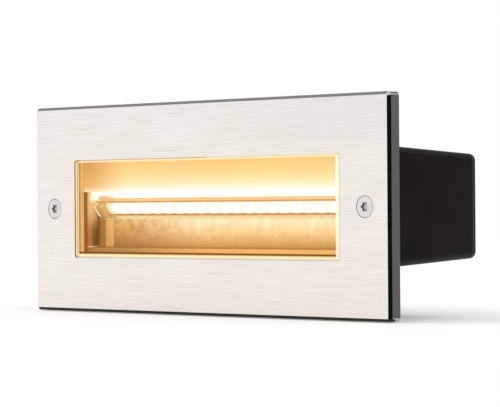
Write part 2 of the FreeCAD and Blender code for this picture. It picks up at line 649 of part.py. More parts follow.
def board_pin(name, radius, across, along, start, length):
    """A round pin square to the board; start is its height above the lit face."""
    pin = doc.addObject("Part::Cylinder", name)
    pin.Placement = Placement(Vector(), Rotation(Vector(1, 0, 0), 1))
    bind(pin, Radius=radius, Height=length)
    depth, height = board_point(along, start)
    place(pin, across, depth, height)
    bind(pin, Placement__Rotation__Angle="(90 + boardTilt) * 1 deg")
    return pin


BOARD_SCREWS = [(side, "(%sboardLength / 2 %s boardScrewEdge)" % (sign, inwards))
                for side, sign, inwards in (("Left", "0 - ", "+"), ("Right", "", "-"))]
BOARD_SCREW_ALONG = "(boardWidth - boardScrewEdge)"
BOARD_SCREW_REACH = "(boardThickness + boardScrewGrip)"
CARRIER_SCREWS = mirrored_pair("boardLength / 2 - carrierScrewInset", "0 - carrierScrewDrop")
LEAD_HOLE = "(0 - boardLength / 2 + leadHoleInset)"
LEADS = (("Lower", "(leadHoleHeight - leadSpacing / 2)"), ("Upper", "(leadHoleHeight + leadSpacing / 2)"))


def make_light_source():
    board = on_board("BoardBlank", "0", "boardWidth / 2", "boardLength", "boardWidth", "boardThickness",
                     "0 - boardThickness")
    holes = [board_pin("BoardHole" + side, "boardScrewShank + fitPlay", x, BOARD_SCREW_ALONG,
                       "0 - boardThickness", "boardThickness") for side, x in BOARD_SCREWS]
    holes += [rod("BoardLeadHole" + name, "leadRadius + fitPlay", "carrierDepth", LEAD_HOLE, CARRIER_FRONT, z)
              for name, z in LEADS]
    piece("led_board", cut("LedBoard", board, *holes))

    screws = []
    for side, x in BOARD_SCREWS:
        head = board_pin("BoardScrewHead" + side, "boardScrewRadius", x, BOARD_SCREW_ALONG, "0",
                         "boardScrewHead")
        shank = board_pin("BoardScrewShank" + side, "boardScrewShank", x, BOARD_SCREW_ALONG,
                          "0 - %s" % BOARD_SCREW_REACH, BOARD_SCREW_REACH)
        screws.append(fuse("BoardScrew" + side, head, shank))
    piece("board_screws", group("BoardScrews", *screws))

    # the row fills the board from the connector to the right end
    count = int(evaluate("(boardLength - rowInset) / chipPitch"))
    row_start = "(rowInset - boardLength / 2)"
    chips = []
    for number in range(count):
        across = "(%s + %g * chipPitch)" % (row_start, number + 0.5)
        chips.append(on_board("Chip%02d" % number, across, "chipRow", "chipLength", "chipWidth",
                              "chipThickness"))
    piece("led_chips", group("LedChips", *chips))

    row_middle = "(%s + %g * chipPitch)" % (row_start, count / 2)
    bar = on_board("LensBar", row_middle, "chipRow", "%d * chipPitch" % count, "lensWidth",
                   "lensThickness")
    channel = on_board("LensChannel", row_middle, "chipRow",
                       "%d * chipPitch + chipLength + 2 * lensGap" % (count - 1),
                       "chipWidth + 2 * lensGap", "chipThickness + lensGap")
    piece("led_lens", cut("LedLens", bar, channel))
    piece("board_connector", on_board("BoardConnector", "connectorAcross", "connectorAlong",
                                      "connectorLength", "connectorWidth", "connectorThickness"))


def make_carrier():
    """A drawn bar: sloping shelf above, seat for the board, duct, and a foot behind the reflector."""
    body = part_body("LedCarrier")
    sketch = plane_sketch(body, "YZ_Plane", "CarrierProfile")
    seat_top = BOARD_REAR_TOP
    seat_bottom = ("(%s + boardWidth * sin(boardTilt * 1 deg))" % seat_top[0],
                   "(%s - boardWidth * cos(boardTilt * 1 deg))" % seat_top[1])
    toe = "(%s + reflectorSheet)" % REFLECTOR_BACK
    heel = "(%s - carrierHeel)" % seat_bottom[1]
    top = "(diffuserEdge + shelfHeight)"
    outline(sketch, [
        (CARRIER_FRONT, top), (CARRIER_FRONT, "diffuserEdge - fitPlay"),
        ("boardTopDepth - shelfLip / 2", "boardTopHeight + shelfLip"), seat_top, seat_bottom,
        (seat_bottom[0], heel), (toe, heel), (toe, "0 - carrierFoot"), (CARRIER_BACK, "0 - carrierFoot"),
        (CARRIER_BACK, top)])
    extrude_across(body, "Drawn", sketch, "boardLength")

    # the duct is a triangle whose walls are as thick as the rest of the bar
    duct = plane_sketch(body, "YZ_Plane", "DuctProfile")
    duct_back = "(%s - carrierWall)" % CARRIER_BACK
    duct_top = "(%s - carrierWall)" % top
    slope = "tan(boardTilt * 1 deg)"
    wall_step = "(carrierWall / cos(boardTilt * 1 deg))"
    duct_front = "(%s + %s - (%s - %s) * %s)" % (seat_top[0], wall_step, duct_top, seat_top[1], slope)
    duct_bottom = "(%s - (%s - %s) / %s)" % (duct_top, duct_back, duct_front, slope)
    outline(duct, [(duct_front, duct_top), (duct_back, duct_top), (duct_back, duct_bottom)])
    feature = body.newObject("PartDesign::Pocket", "Duct")
    feature.Profile = duct
    feature.Midplane = True
    bind(feature, Length="boardLength")

    cuts = [rod("LeadHole", "leadHoleRadius", "carrierDepth", LEAD_HOLE, CARRIER_FRONT, "leadHoleHeight")]
    cuts += [board_pin("CarrierHole" + side, "boardScrewShank + fitPlay", x, BOARD_SCREW_ALONG,
                       "0 - %s" % BOARD_SCREW_REACH, BOARD_SCREW_REACH) for side, x in BOARD_SCREWS]
    head_height = "(screwThreeHead - screwThree)"
    foot_depth = "(%s - %s)" % (CARRIER_BACK, toe)
    screws = []
    for side, (x, z) in zip(SIDES, CARRIER_SCREWS):
        cuts.append(taper("FootSink" + side, "screwThreeHead + sinkGap", "screwThree + sinkGap", head_height,
                          x, toe, z))
        cuts.append(rod("FootHole" + side, "screwThree + sinkGap", foot_depth, x, toe, z))
        top_cone = taper("FootScrewHead" + side, "screwThreeHead", "screwThree", head_height, x, toe, z)
        stem = rod("FootScrewStem" + side, "screwThree", "%s + carrierScrewReach" % foot_depth, x, toe, z)
        screws.append(fuse("FootScrew" + side, top_cone, stem))
    piece("led_carrier", cut("LedCarrierDrilled", body, *cuts))
    piece("carrier_screws", group("CarrierScrews", *screws))


# ---- sealed housing --------------------------------------------------------------------------

def make_lamp_housing():
    """A flanged tray; its hollow is cut round the ledges that carry the light source."""
    tray = shell_with_round_edges("HousingShell", HOUSING_FRONT, HOUSING_LENGTH, HOUSING_HEIGHT,
                                  "housingDepth", "housingCorner", "housingRearRound")
    slab(tray, "HousingFlange", HOUSING_FRONT, BOSS_LENGTH, BOSS_HEIGHT, "flangeThickness")
    inside = part_body("HousingInside")
    inner_depth = "(housingDepth - housingWall)"
    drafted(inside, "Additive", "HousingInsideBlank", HOUSING_FRONT, HOUSING_INNER,
            "%s - 2 * housingWall" % HOUSING_HEIGHT, inner_depth, with_draft(inner_depth))
    standing = [block("Ledge" + side, "ledgeLength", "housingDepth", "ledgeHeight",
                      "%s(%s / 2 - ledgeLength / 2)" % (sign, HOUSING_INNER), CARRIER_BACK,
                      "ledgeHeight / 2 - carrierFoot") for side, sign in zip(SIDES, ("0 - ", ""))]
    cuts = [cut("HousingHollow", inside, *standing)]
    back = "(%s - housingWall)" % HOUSING_BACK
    through = (
        ("FlangeHole", "screwThree + passGap", "flangeThickness", HOUSING_FRONT, HOUSING_SCREWS),
        ("LedgeHole", "screwThree + fitPlay", "carrierScrewReach + tipGap", CARRIER_BACK, CARRIER_SCREWS),
        ("GlandHole", "glandShankRadius + fitPlay", "housingWall", back, [("supplyAcross", "supplyHeight")]),
        ("DriverHole", "screwThree + fitPlay", "housingWall", back, DRIVER_SCREWS),
        ("EarthHole", "earthRadius + fitPlay", "housingWall", back, [("0 - earthAcross", "0")]),
        ("TerminalHole", "screwThree + fitPlay", "housingWall", back, TERMINAL_FIXINGS))
    for name, radius, length, depth, centres in through:
        for number, (x, z) in enumerate(centres):
            cuts.append(rod("%s%d" % (name, number), radius, length, x, depth, z))
    piece("lamp_housing", cut("LampHousing", tray, *cuts))

    flange_back = "%s + flangeThickness" % HOUSING_FRONT
    reach = "(flangeThickness + housingSeal + housingScrewReach - tipGap)"
    piece("housing_screws", group("HousingScrews", *[
        pan_screw("HousingScrew%d" % number, flange_back, reach, x, z, outwards=True)
        for number, (x, z) in enumerate(HOUSING_SCREWS)]))


def pan_screw(name, seat, reach, x, z, outwards):
    """A round-headed screw on a seat; outwards says that its head is on the rear side."""
    head_depth = seat if outwards else "%s - screwThreeHeadHeight" % seat
    stem_depth = "%s - %s" % (seat, reach) if outwards else seat
    head = rod(name + "Head", "screwThreeHead", "screwThreeHeadHeight", x, head_depth, z)
    stem = rod(name + "Stem", "screwThree", reach, x, stem_depth, z)
    return fuse(name, head, stem)


DRIVER_SCREWS = mirrored_pair("driverLength / 2 + driverFootLength / 2", "0")
TERMINAL_FIXINGS = [("terminalCentre - terminalPitch / 2", "0"), ("terminalCentre + terminalPitch / 2", "0")]


def make_driver():
    body = part_body("DriverModule")
    front = "(%s - housingWall - driverDepth)" % HOUSING_BACK
    case = slab(body, "Case", front, "driverLength", "driverHeight", "driverDepth")
    rounded(body, "CaseEdges", case, runs_back, "driverCorner")
    foot_front = "(%s - housingWall - driverFootThickness)" % HOUSING_BACK
    slab(body, "Feet", foot_front, "driverLength + 2 * driverFootLength", "driverFootHeight",
         "driverFootThickness")
    round_holes(body, "FootHoles", foot_front, "screwThree + passGap", DRIVER_SCREWS, "driverFootThickness")
    piece("driver_module", body)
    reach = "(driverFootThickness + housingWall - tipGap)"
    piece("driver_screws", group("DriverScrews", *[
        pan_screw("DriverScrew" + side, foot_front, reach, x, z, outwards=False)
        for side, (x, z) in zip(SIDES, DRIVER_SCREWS)]))


def bend(name, radius, tube, x, y, z, turn):
    """A quarter of a ring in the level plane; turn is where the quarter starts, in degrees."""
    ring = doc.addObject("Part::Torus", name)
    ring.Placement = Placement(Vector(), Rotation(Vector(0, 0, 1), turn))
    ring.Angle3 = 90
    bind(ring, Radius1=radius, Radius2=tube)
    place(ring, x, y, z)
    return ring


def cross_rod(name, radius, start, length, y, z):
    """A round rod along X."""
    cylinder = doc.addObject("Part::Cylinder", name)
    cylinder.Placement = Placement(Vector(), Rotation(Vector(0, 1, 0), 90))
    bind(cylinder, Radius=radius, Height=length)
    place(cylinder, start, y, z)
    return cylinder


def make_leads():
    leads = []
    driver_end = "(0 - driverLength / 2)"
    turn_y = "(leadDepth - leadBend)"
    turn_x = "(%s + leadBend)" % LEAD_HOLE
    for name, z in LEADS:
        # a lead ends where the lower side of its tip is flush with the lit face of the board
        start = "(boardTopDepth + (boardTopHeight - %s + leadRadius) * tan(boardTilt * 1 deg))" % z
        leads.append(fuse(
            "Lead" + name,
            rod("Lead%sBack" % name, "leadRadius", "%s - %s" % (turn_y, start), LEAD_HOLE, start, z),
            bend("Lead%sElbow" % name, "leadBend", "leadRadius", turn_x, turn_y, z, 90),
            cross_rod("Lead%sAcross" % name, "leadRadius", turn_x, "%s - %s" % (driver_end, turn_x),
                      "leadDepth", z)))
    piece("led_leads", group("LedLeads", *leads))

    driver_side = "(driverLength / 2)"
    exit_y = "(%s - housingWall)" % HOUSING_BACK
    turn_x = "(supplyAcross - supplyBend)"
    outer_y = "(%s + supplyRun)" % HOUSING_BACK
    piece("supply_lead", fuse(
        "SupplyLead",
        cross_rod("SupplyInner", "supplyRadius", driver_side, "%s - %s" % (turn_x, driver_side),
                  "%s - supplyBend" % exit_y, "supplyHeight"),
        bend("SupplyFirstBend", "supplyBend", "supplyRadius", turn_x, exit_y, "supplyHeight", 270),
        rod("SupplyThrough", "supplyRadius", "%s - %s" % (outer_y, exit_y), "supplyAcross", exit_y,
            "supplyHeight"),
        bend("SupplySecondBend", "supplyBend", "supplyRadius", turn_x, outer_y, "supplyHeight", 0),
        cross_rod("SupplyOuter", "supplyRadius", TERMINAL_ENTRY, "%s - %s" % (turn_x, TERMINAL_ENTRY),
                  "%s + supplyBend" % outer_y, "supplyHeight")))


TERMINAL_ENTRY = "(terminalCentre + terminalLength / 2 - terminalEntryDepth)"


def make_supply_gland():
    x, z = "supplyAcross", "supplyHeight"
    shank = rod("GlandShank", "glandShankRadius", "housingWall", x, "%s - housingWall" % HOUSING_BACK, z)
    flange = prism("GlandFlange", "glandFlats", "glandFlange", x, HOUSING_BACK, z)
    nose_y = "(%s + glandFlange)" % HOUSING_BACK
    nose = rod("GlandNose", "glandNoseRadius", "glandNose", x, nose_y, z)
    blank = fuse("GlandBlank", shank, flange, nose)
    passage = rod("GlandPassage", "supplyRadius + fitPlay", "housingWall + glandFlange", x,
                  "%s - housingWall" % HOUSING_BACK, z)
    seat = rod("GlandSeat", "sealRadius + fitPlay", "glandNose", x, nose_y, z)
    piece("supply_gland", cut("SupplyGland", blank, passage, seat))

    seal = rod("GlandSealBlank", "sealRadius", "glandNose", x, nose_y, z)
    seal_bore = rod("GlandSealBore", "supplyRadius + sealPlay", "glandNose", x, nose_y, z)
    piece("supply_gland_seal", cut("SupplyGlandSeal", seal, seal_bore))

    cap = prism("GlandCapBlank", "capFlats", "capLength", x, nose_y, z)
    cap_bore = rod("GlandCapBore", "glandNoseRadius + fitPlay", "glandNose", x, nose_y, z)
    cap_mouth = rod("GlandCapMouth", "supplyRadius + capMouthGap", "capLength", x, nose_y, z)
    piece("supply_gland_nut", cut("SupplyGlandNut", cap, cap_bore, cap_mouth))


def slotted(name, blank, radius, x, top, z):
    """A screw head with one straight slot in its top."""
    slot = block(name + "Slot", "2 * %s" % radius, "slotDepth", "slotWidth", x, "%s - slotDepth" % top, z)
    return cut(name, blank, slot)


def make_terminals():
    blank = block("TerminalBlank", "terminalLength", "terminalDepth", "terminalHeight", "terminalCentre",
                  HOUSING_BACK)
    top = "(%s + terminalDepth)" % HOUSING_BACK
    entry_y = "(%s + supplyRun + supplyBend)" % HOUSING_BACK
    cuts = [cross_rod(name, "terminalEntryRadius", start, "terminalEntryDepth", entry_y, "supplyHeight")
            for name, start in (("SupplyEntry", TERMINAL_ENTRY),
                                ("MainsEntry", "terminalCentre - terminalLength / 2"))]
    clamps = []
    well = "(terminalScrewSet + terminalScrewHeight)"
    for pole in range(POLES):
        x = "(terminalCentre + %g * terminalPitch)" % (pole - (POLES - 1) / 2)
        for row, sign in zip(("Low", "High"), ("0 - ", "")):
            name = "Clamp%s%d" % (row, pole)
            z = "(%sterminalHeight / 4)" % sign
            cuts.append(rod(name + "Well", "terminalScrewRadius + sinkGap", well, x,
                            "%s - %s" % (top, well), z))
            screw = rod(name + "Blank", "terminalScrewRadius", "terminalScrewHeight", x,
                        "%s - %s" % (top, well), z)
            clamps.append(slotted(name, screw, "terminalScrewRadius", x, "%s - terminalScrewSet" % top, z))
    floor = "(%s + terminalFloor)" % HOUSING_BACK
    reach = "(terminalFloor + housingWall - tipGap)"
    fixings = []
    for number, (x, z) in enumerate(TERMINAL_FIXINGS):
        cuts.append(rod("FixingWell%d" % number, "screwThreeHead + passGap", "terminalDepth - terminalFloor",
                        x, floor, z))
        cuts.append(rod("FixingHole%d" % number, "screwThree + passGap", "terminalFloor", x, HOUSING_BACK, z))
        fixings.append(pan_screw("Fixing%d" % number, floor, reach, x, z, outwards=True))
    piece("terminal_block", cut("TerminalBlock", blank, *cuts))
    piece("terminal_screws", group("TerminalScrews", *clamps))
    piece("terminal_fixings", group("TerminalFixings", *fixings))

    head = rod("EarthHead", "earthHeadRadius", "earthHeadHeight", "0 - earthAcross", HOUSING_BACK)
    stem = rod("EarthStem", "earthRadius", "housingWall - tipGap", "0 - earthAcross",
               "%s - housingWall + tipGap" % HOUSING_BACK)
    piece("earth_screw", slotted("EarthScrew", fuse("EarthBlank", head, stem), "earthHeadRadius",
                                 "0 - earthAcross", "%s + earthHeadHeight" % HOUSING_BACK, "0"))


make_faceplate()
make_plate_fixings()
make_window()
make_front_frame()
make_seals()
make_recess_box()
make_cable_entries()
for side, (across, _) in zip(SIDES, SCREWS):
    make_cover_screw(side, "(%s)" % across)
make_reflector()
make_light_source()
make_carrier()
make_lamp_housing()
make_driver()
make_leads()
make_supply_gland()
make_terminals()
doc.recompute()

faults = []
for thing in doc.Objects:
    if "Invalid" in thing.State or "Error" in thing.State:
        faults.append("%s is %s" % (thing.Name, thing.State))
for thing in pieces:
    shape = thing.Shape
    if shape.isNull() or not shape.isValid() or not shape.Solids:
        faults.append("%s has no valid solid" % thing.Label)
if faults:
    raise RuntimeError("; ".join(faults))

os.makedirs("parts", exist_ok=True)
for thing in pieces:
    shape = thing.Shape
    shape.exportStep(os.path.join("parts", thing.Label + ".step"))
    box = shape.BoundBox
    print("%-18s %2d solids %10.1f mm3" % (thing.Label, len(shape.Solids), shape.Volume),
          " x %.2f..%.2f  y %.2f..%.2f" % (box.XMin, box.XMax, box.YMin, box.YMax),
          " z %.2f..%.2f" % (box.ZMin, box.ZMax))
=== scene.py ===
import math

import bmesh
import bpy
import numpy as np
from mathutils import Matrix, Vector


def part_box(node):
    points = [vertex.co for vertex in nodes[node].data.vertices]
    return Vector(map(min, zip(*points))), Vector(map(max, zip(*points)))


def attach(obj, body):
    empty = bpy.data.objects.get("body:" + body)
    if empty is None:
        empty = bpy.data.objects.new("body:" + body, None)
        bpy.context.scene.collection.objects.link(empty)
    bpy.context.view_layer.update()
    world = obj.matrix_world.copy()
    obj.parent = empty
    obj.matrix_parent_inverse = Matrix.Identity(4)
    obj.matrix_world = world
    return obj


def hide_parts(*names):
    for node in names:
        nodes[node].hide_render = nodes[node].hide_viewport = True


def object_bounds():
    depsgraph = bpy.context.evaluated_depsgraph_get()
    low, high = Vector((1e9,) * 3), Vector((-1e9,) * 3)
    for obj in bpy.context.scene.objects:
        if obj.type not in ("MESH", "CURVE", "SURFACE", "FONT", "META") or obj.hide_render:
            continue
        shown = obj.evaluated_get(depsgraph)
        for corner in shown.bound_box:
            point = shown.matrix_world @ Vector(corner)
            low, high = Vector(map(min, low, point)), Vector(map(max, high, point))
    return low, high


# Step light in a wall box: brushed plate, lit window, black box behind.
# Metres, X to the right, Y into the wall, Z up. The materials reckon in millimetres.

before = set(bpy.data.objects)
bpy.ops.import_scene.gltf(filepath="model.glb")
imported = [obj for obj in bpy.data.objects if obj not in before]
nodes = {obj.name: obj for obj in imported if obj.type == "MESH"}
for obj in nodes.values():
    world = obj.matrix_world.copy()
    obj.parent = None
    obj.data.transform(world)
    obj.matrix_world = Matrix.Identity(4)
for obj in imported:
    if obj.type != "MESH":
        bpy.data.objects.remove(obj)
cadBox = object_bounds()
mm = 0.001
plateFront = -6.4     # Y of the plate's face, mm
screwX = 100.7        # the cover screws' axes lie this far from the middle, mm
black = (0, 0, 0, 1)
print("frame loaded:", len(nodes), "nodes")


def rgb(red, green, blue):
    # a colour as it is seen on a screen, 0 to 255, turned into linear light
    def linear(value):
        value = value / 255
        return value / 12.92 if value <= 0.04045 else ((value + 0.055) / 1.055) ** 2.4
    return (linear(red), linear(green), linear(blue), 1)


# Small helpers for node trees.

def addNode(tree, kind, **values):
    # each new node goes to the next place of a grid, so that none hides another
    node = tree.nodes.new(kind)
    count = len(tree.nodes)
    node.location = (220 * (count % 10) - 2400, -260 * (count // 10))
    for name, value in values.items():
        setattr(node, name, value)
    return node


def feed(socket, value):
    # a constant is set on the socket, anything else is linked to it
    if isinstance(value, (int, float, tuple)):
        socket.default_value = value
    else:
        socket.id_data.links.new(getattr(value, "socket", value), socket)


class Number:
    # a number that comes out of a node, with Python's own signs for reckoning with it
    def __init__(self, socket):
        self.socket = socket
        self.tree = socket.id_data

    def reckon(self, operation, first, second=0.0):
        node = addNode(self.tree, "ShaderNodeMath", operation=operation)
        feed(node.inputs[0], first)
        feed(node.inputs[1], second)
        return Number(node.outputs[0])

    def __add__(self, other):
        return self.reckon("ADD", self, other)

    def __sub__(self, other):
        return self.reckon("SUBTRACT", self, other)

    def __rsub__(self, other):
        return self.reckon("SUBTRACT", other, self)

    def __mul__(self, other):
        return self.reckon("MULTIPLY", self, other)

    def __truediv__(self, other):
        return self.reckon("DIVIDE", self, other)

    def __pow__(self, other):
        return self.reckon("POWER", self, other)

    def __gt__(self, other):
        return self.reckon("GREATER_THAN", self, other)

    def __lt__(self, other):
        return self.reckon("LESS_THAN", self, other)

    def __abs__(self):
        return self.reckon("ABSOLUTE", self)


def highest(first, second):
    return first.reckon("MAXIMUM", first, second)


def lowest(first, second):
    return first.reckon("MINIMUM", first, second)


def cosine(value):
    return value.reckon("COSINE", value)


def mapRange(value, low, high, shape):
    node = addNode(value.tree, "ShaderNodeMapRange", interpolation_type=shape)
    feed(node.inputs[0], value)
    node.inputs[1].default_value = low
    node.inputs[2].default_value = high
    return Number(node.outputs[0])


def span(value, low, high):
    # 0 at low, 1 at high, smooth between
    return mapRange(value, low, high, "SMOOTHSTEP")


def part(value, low, high):
    # 0 at low, 1 at high, straight between
    return mapRange(value, low, high, "LINEAR")


def mix(share, first, second):
    # the first colour where the share is 0, the second where it is 1
    node = addNode(share.tree, "ShaderNodeMix", data_type="RGBA")
    feed(node.inputs[0], share)
    feed(node.inputs[6], first)
    feed(node.inputs[7], second)
    return node.outputs[2]


def ramp(value, stops):
    # stops are (place, red, green, blue)
    node = addNode(value.tree, "ShaderNodeValToRGB")
    band = node.color_ramp
    band.interpolation = "LINEAR"
    while len(band.elements) < len(stops):
        band.elements.new(0.5)
    for element, (place, *colour) in zip(band.elements, stops):
        element.position = place
        element.color = rgb(*colour)
    feed(node.inputs[0], value)
    return node.outputs[0]


def noise(vector, scale, detail, roughness=0.5):
    tree = vector.id_data
    node = addNode(tree, "ShaderNodeTexNoise")
    feed(node.inputs["Vector"], vector)
    feed(node.inputs["Scale"], scale)
    node.inputs["Detail"].default_value = detail
    node.inputs["Roughness"].default_value = roughness
    return Number(node.outputs["Fac"])


def stretched(vector, scale):
    # the vector times a scale, which is a vector too
    node = addNode(vector.id_data, "ShaderNodeVectorMath", operation="MULTIPLY")
    feed(node.inputs[0], vector)
    feed(node.inputs[1], scale)
    return node.outputs[0]


def objectPlace(shader):
    # the point in the object's own space, in metres
    return addNode(shader.id_data, "ShaderNodeTexCoord").outputs["Object"]


def inMillimetres(place):
    # its X, Y and Z as numbers, in millimetres
    split = addNode(place.id_data, "ShaderNodeSeparateXYZ")
    feed(split.inputs[0], stretched(place, (1000, 1000, 1000)))
    return [Number(socket) for socket in split.outputs]


def newMaterial(name, colour, roughness, metallic=0.0, specular=0.5):
    material = bpy.data.materials.new(name)
    material.use_nodes = True
    shader = material.node_tree.nodes["Principled BSDF"]
    shader.inputs["Base Color"].default_value = colour
    shader.inputs["Roughness"].default_value = roughness
    shader.inputs["Metallic"].default_value = metallic
    shader.inputs["Specular IOR Level"].default_value = specular
    return material, shader


def paint(shader, colour):
    feed(shader.inputs["Base Color"], colour)


def lightUp(shader, colour, strength):
    feed(shader.inputs["Emission Color"], colour)
    shader.inputs["Emission Strength"].default_value = strength


def bumpFrom(shader, height, strength, distance):
    bump = addNode(shader.id_data, "ShaderNodeBump")
    bump.inputs["Strength"].default_value = strength
    bump.inputs["Distance"].default_value = distance
    feed(bump.inputs["Height"], height)
    feed(shader.inputs["Normal"], bump.outputs[0])


def dress(material, *names):
    for name in names:
        mesh = nodes[name].data
        mesh.materials.clear()
        mesh.materials.append(material)


# Shared effects, one node group each.

def newGroup(name, numbers, results):
    group = bpy.data.node_groups.new(name, "ShaderNodeTree")
    group.interface.new_socket(name="Vector", in_out="INPUT", socket_type="NodeSocketVector")
    for label, value in numbers.items():
        socket = group.interface.new_socket(name=label, in_out="INPUT", socket_type="NodeSocketFloat")
        socket.default_value = value
    for label in results:
        group.interface.new_socket(name=label, in_out="OUTPUT", socket_type="NodeSocketFloat")
    given = addNode(group, "NodeGroupInput").outputs
    result = addNode(group, "NodeGroupOutput").inputs
    return group, given["Vector"], [Number(given[label]) for label in numbers], result


def makeGrainGroup():
    # fine moulded or cast grain: height is the mean of two noises, shade is the slower one
    group, vector, (size,), result = newGroup("fineGrain", {"Size": 900.0}, ("Height", "Shade"))
    small = noise(vector, size, 3)
    wide = noise(vector, size * 0.06, 4)
    feed(result["Height"], (small + wide) * 0.5)
    feed(result["Shade"], wide)
    return group


def makeBrushGroup():
    # straight brush lines along X: noise squeezed across the lines, fine and coarser
    group, vector, (along, across), result = newGroup(
        "brushLines", {"Along": 14.0, "Across": 1500.0}, ("Height", "Shade"))
    found = []
    for alongShare, acrossShare, detail in ((1.0, 1.0, 2.0), (0.4, 0.34, 3.0)):
        scale = addNode(group, "ShaderNodeCombineXYZ")
        feed(scale.inputs[0], along * alongShare)
        scale.inputs[1].default_value = 20
        feed(scale.inputs[2], across * acrossShare)
        found.append(noise(stretched(vector, scale.outputs[0]), 1, detail))
    feed(result["Height"], found[0])
    feed(result["Shade"], (found[0] + found[1]) * 0.5)
    return group


def makeWearGroup():
    # scattered rubbed spots: a noise cut off high, with soft edges
    group, vector, (size, amount), result = newGroup("rubbedSpots", {"Size": 90.0, "Amount": 0.3}, ("Mask",))
    feed(result["Mask"], span(noise(vector, size, 6, 0.62), 0.52, 0.70) * amount)
    return group


fineGrain = makeGrainGroup()
brushLines = makeBrushGroup()
rubbedSpots = makeWearGroup()


def useGroup(group, vector, **values):
    node = addNode(vector.id_data, "ShaderNodeGroup", node_tree=group)
    feed(node.inputs["Vector"], vector)
    for name, value in values.items():
        node.inputs[name].default_value = value
    return {socket.name: Number(socket) for socket in node.outputs}


def grainedMaterial(name, dark, light, roughness, grainSize=900.0, bump=0.15, metallic=0.0,
                    specular=0.5, wear=0.2, wearColour=None):
    # a plain finish with slow colour variation, fine grain and a few rubbed spots
    material, shader = newMaterial(name, dark, roughness, metallic, specular)
    place = objectPlace(shader)
    grain = useGroup(fineGrain, place, Size=grainSize)
    spots = useGroup(rubbedSpots, place, Size=grainSize * 0.12, Amount=wear)
    paint(shader, mix(spots["Mask"], mix(grain["Shade"], dark, light), wearColour or light))
    feed(shader.inputs["Roughness"], grain["Shade"] * 0.16 + (roughness - 0.08))
    bumpFrom(shader, grain["Height"], bump, 0.00008)
    return material, shader


def outsideOf(x, z, halfX, halfZ, radius):
    # distance in mm outside a rectangle with round corners: with q = (|x| - halfX + radius,
    # |z| - halfZ + radius) it is length(max(q, 0)) + min(max(qx, qz), 0) - radius
    sideX = abs(x) - (halfX - radius)
    sideZ = abs(z) - (halfZ - radius)
    corner = (highest(sideX, 0.0) ** 2.0 + highest(sideZ, 0.0) ** 2.0) ** 0.5
    return corner + lowest(highest(sideX, sideZ), 0.0) - radius


def fromScrew(x, z):
    # distance in mm from the axis of the nearer cover screw
    return (abs(abs(x) - screwX) ** 2.0 + abs(z) ** 2.0) ** 0.5


# Plate and its screws.

plateLook = {
    "bright": rgb(243, 238, 234), "line": rgb(230, 224, 219), "upperRightShade": rgb(216, 211, 207),
    "edge": rgb(196, 194, 190), "ring": rgb(92, 86, 82), "outline": rgb(128, 122, 112),
    "gap": rgb(74, 72, 52), "topGap": rgb(226, 208, 168), "litGap": rgb(255, 246, 220),
    "roughness": 0.34,
    # places in mm from the middle; a window is half width, half height and corner radius
    "chamferX": 113.66, "chamferZ": 47.66, "ringInner": 4.5, "ringOuter": 4.93,
    "window": (86.3, 23.3, 0.6), "outlineFrom": (86.15, 23.2, 0.9), "outlineX": 85.0, "outlineZ": -22.6,
    "upperRightShadeX": (0.0, 60.0), "upperRightShadeZ": (24.0, 32.0), "topOfGap": (22.6, 23.1), "litDepth": (-5.86, -5.7),
    "rimDepth": (-5.2, -4.9),
}


def makePlateMaterial(look):
    material, shader = newMaterial("brushedPlate", look["bright"], look["roughness"], metallic=1.0)
    place = objectPlace(shader)
    x, y, z = inMillimetres(place)
    brush = useGroup(brushLines, place, Along=80.0, Across=3600.0)
    face = mix(span(brush["Shade"], 0.22, 0.74), look["line"], look["bright"])
    # painted shade: slightly greyer towards the upper right
    face = mix(span(x, *look["upperRightShadeX"]) * span(z, *look["upperRightShadeZ"]) * 0.2, face, look["upperRightShade"])
    # painted shade darkens the gap round each screw head
    radius = fromScrew(x, z)
    ring = span(radius, look["ringInner"], look["ringInner"] + 0.12)
    ring = ring * (1 - span(radius, look["ringOuter"] - 0.2, look["ringOuter"]))
    face = mix(ring * 0.85, face, look["ring"])
    # the machined edge starts where the point is farther out than either chamfer line; its darker colour is
    # painted shade
    edge = highest(abs(x) > look["chamferX"], abs(z) > look["chamferZ"])
    shown = mix(edge, face, look["edge"])
    # the wall of the window is darkened with painted shade at its mouth, less so at the top, and takes
    # painted light from the pane farther in
    behindFace = plateFront + 0.03
    inWindow = outsideOf(x, z, *look["window"]) < 0.0
    gap = mix(span(z, *look["topOfGap"]), look["gap"], look["topGap"])
    gap = mix(span(y, *look["litDepth"]), gap, look["litGap"])
    shown = mix(inWindow * (y > behindFace), shown, gap)
    # painted shade: a thin grey outline on the face, right of the window and below it
    outline = 1 - span(outsideOf(x, z, *look["outlineFrom"]), 0.05, 0.34)
    outline = outline * highest(x > look["outlineX"], z < look["outlineZ"]) * (y < behindFace)
    shown = mix(outline * 0.7, shown, look["outline"])
    paint(shader, shown)
    # polished chamfer, and a rim duller than it
    brushed = brush["Shade"] * -0.12 + (look["roughness"] + 0.06)
    polished = span(y, *look["rimDepth"]) * 0.16 + 0.05
    feed(shader.inputs["Roughness"], (1 - edge) * brushed + edge * polished)
    bumpFrom(shader, brush["Height"] * (1 - edge), 0.05, 0.00002)
    return material


dress(makePlateMaterial(plateLook), "faceplate")

screwShape = {
    "head": 4.6, "shank": 2.45, "length": 25.0, "endRadius": 1.65, "tip": 0.8,
    "socket": 1.86, "lobe": 0.30, "socketDepth": 1.35, "edgeRound": 0.12,
    "pitch": 0.8, "threadDepth": 0.42, "threadStart": 5.0,
    "around": 96, "rowsPerTurn": 8,
}

screwLook = {
    "steel": rgb(204, 200, 197), "steelLight": rgb(240, 236, 233),
    "socketWallShade": rgb(112, 100, 94), "socketFloorLight": rgb(236, 222, 214),
}


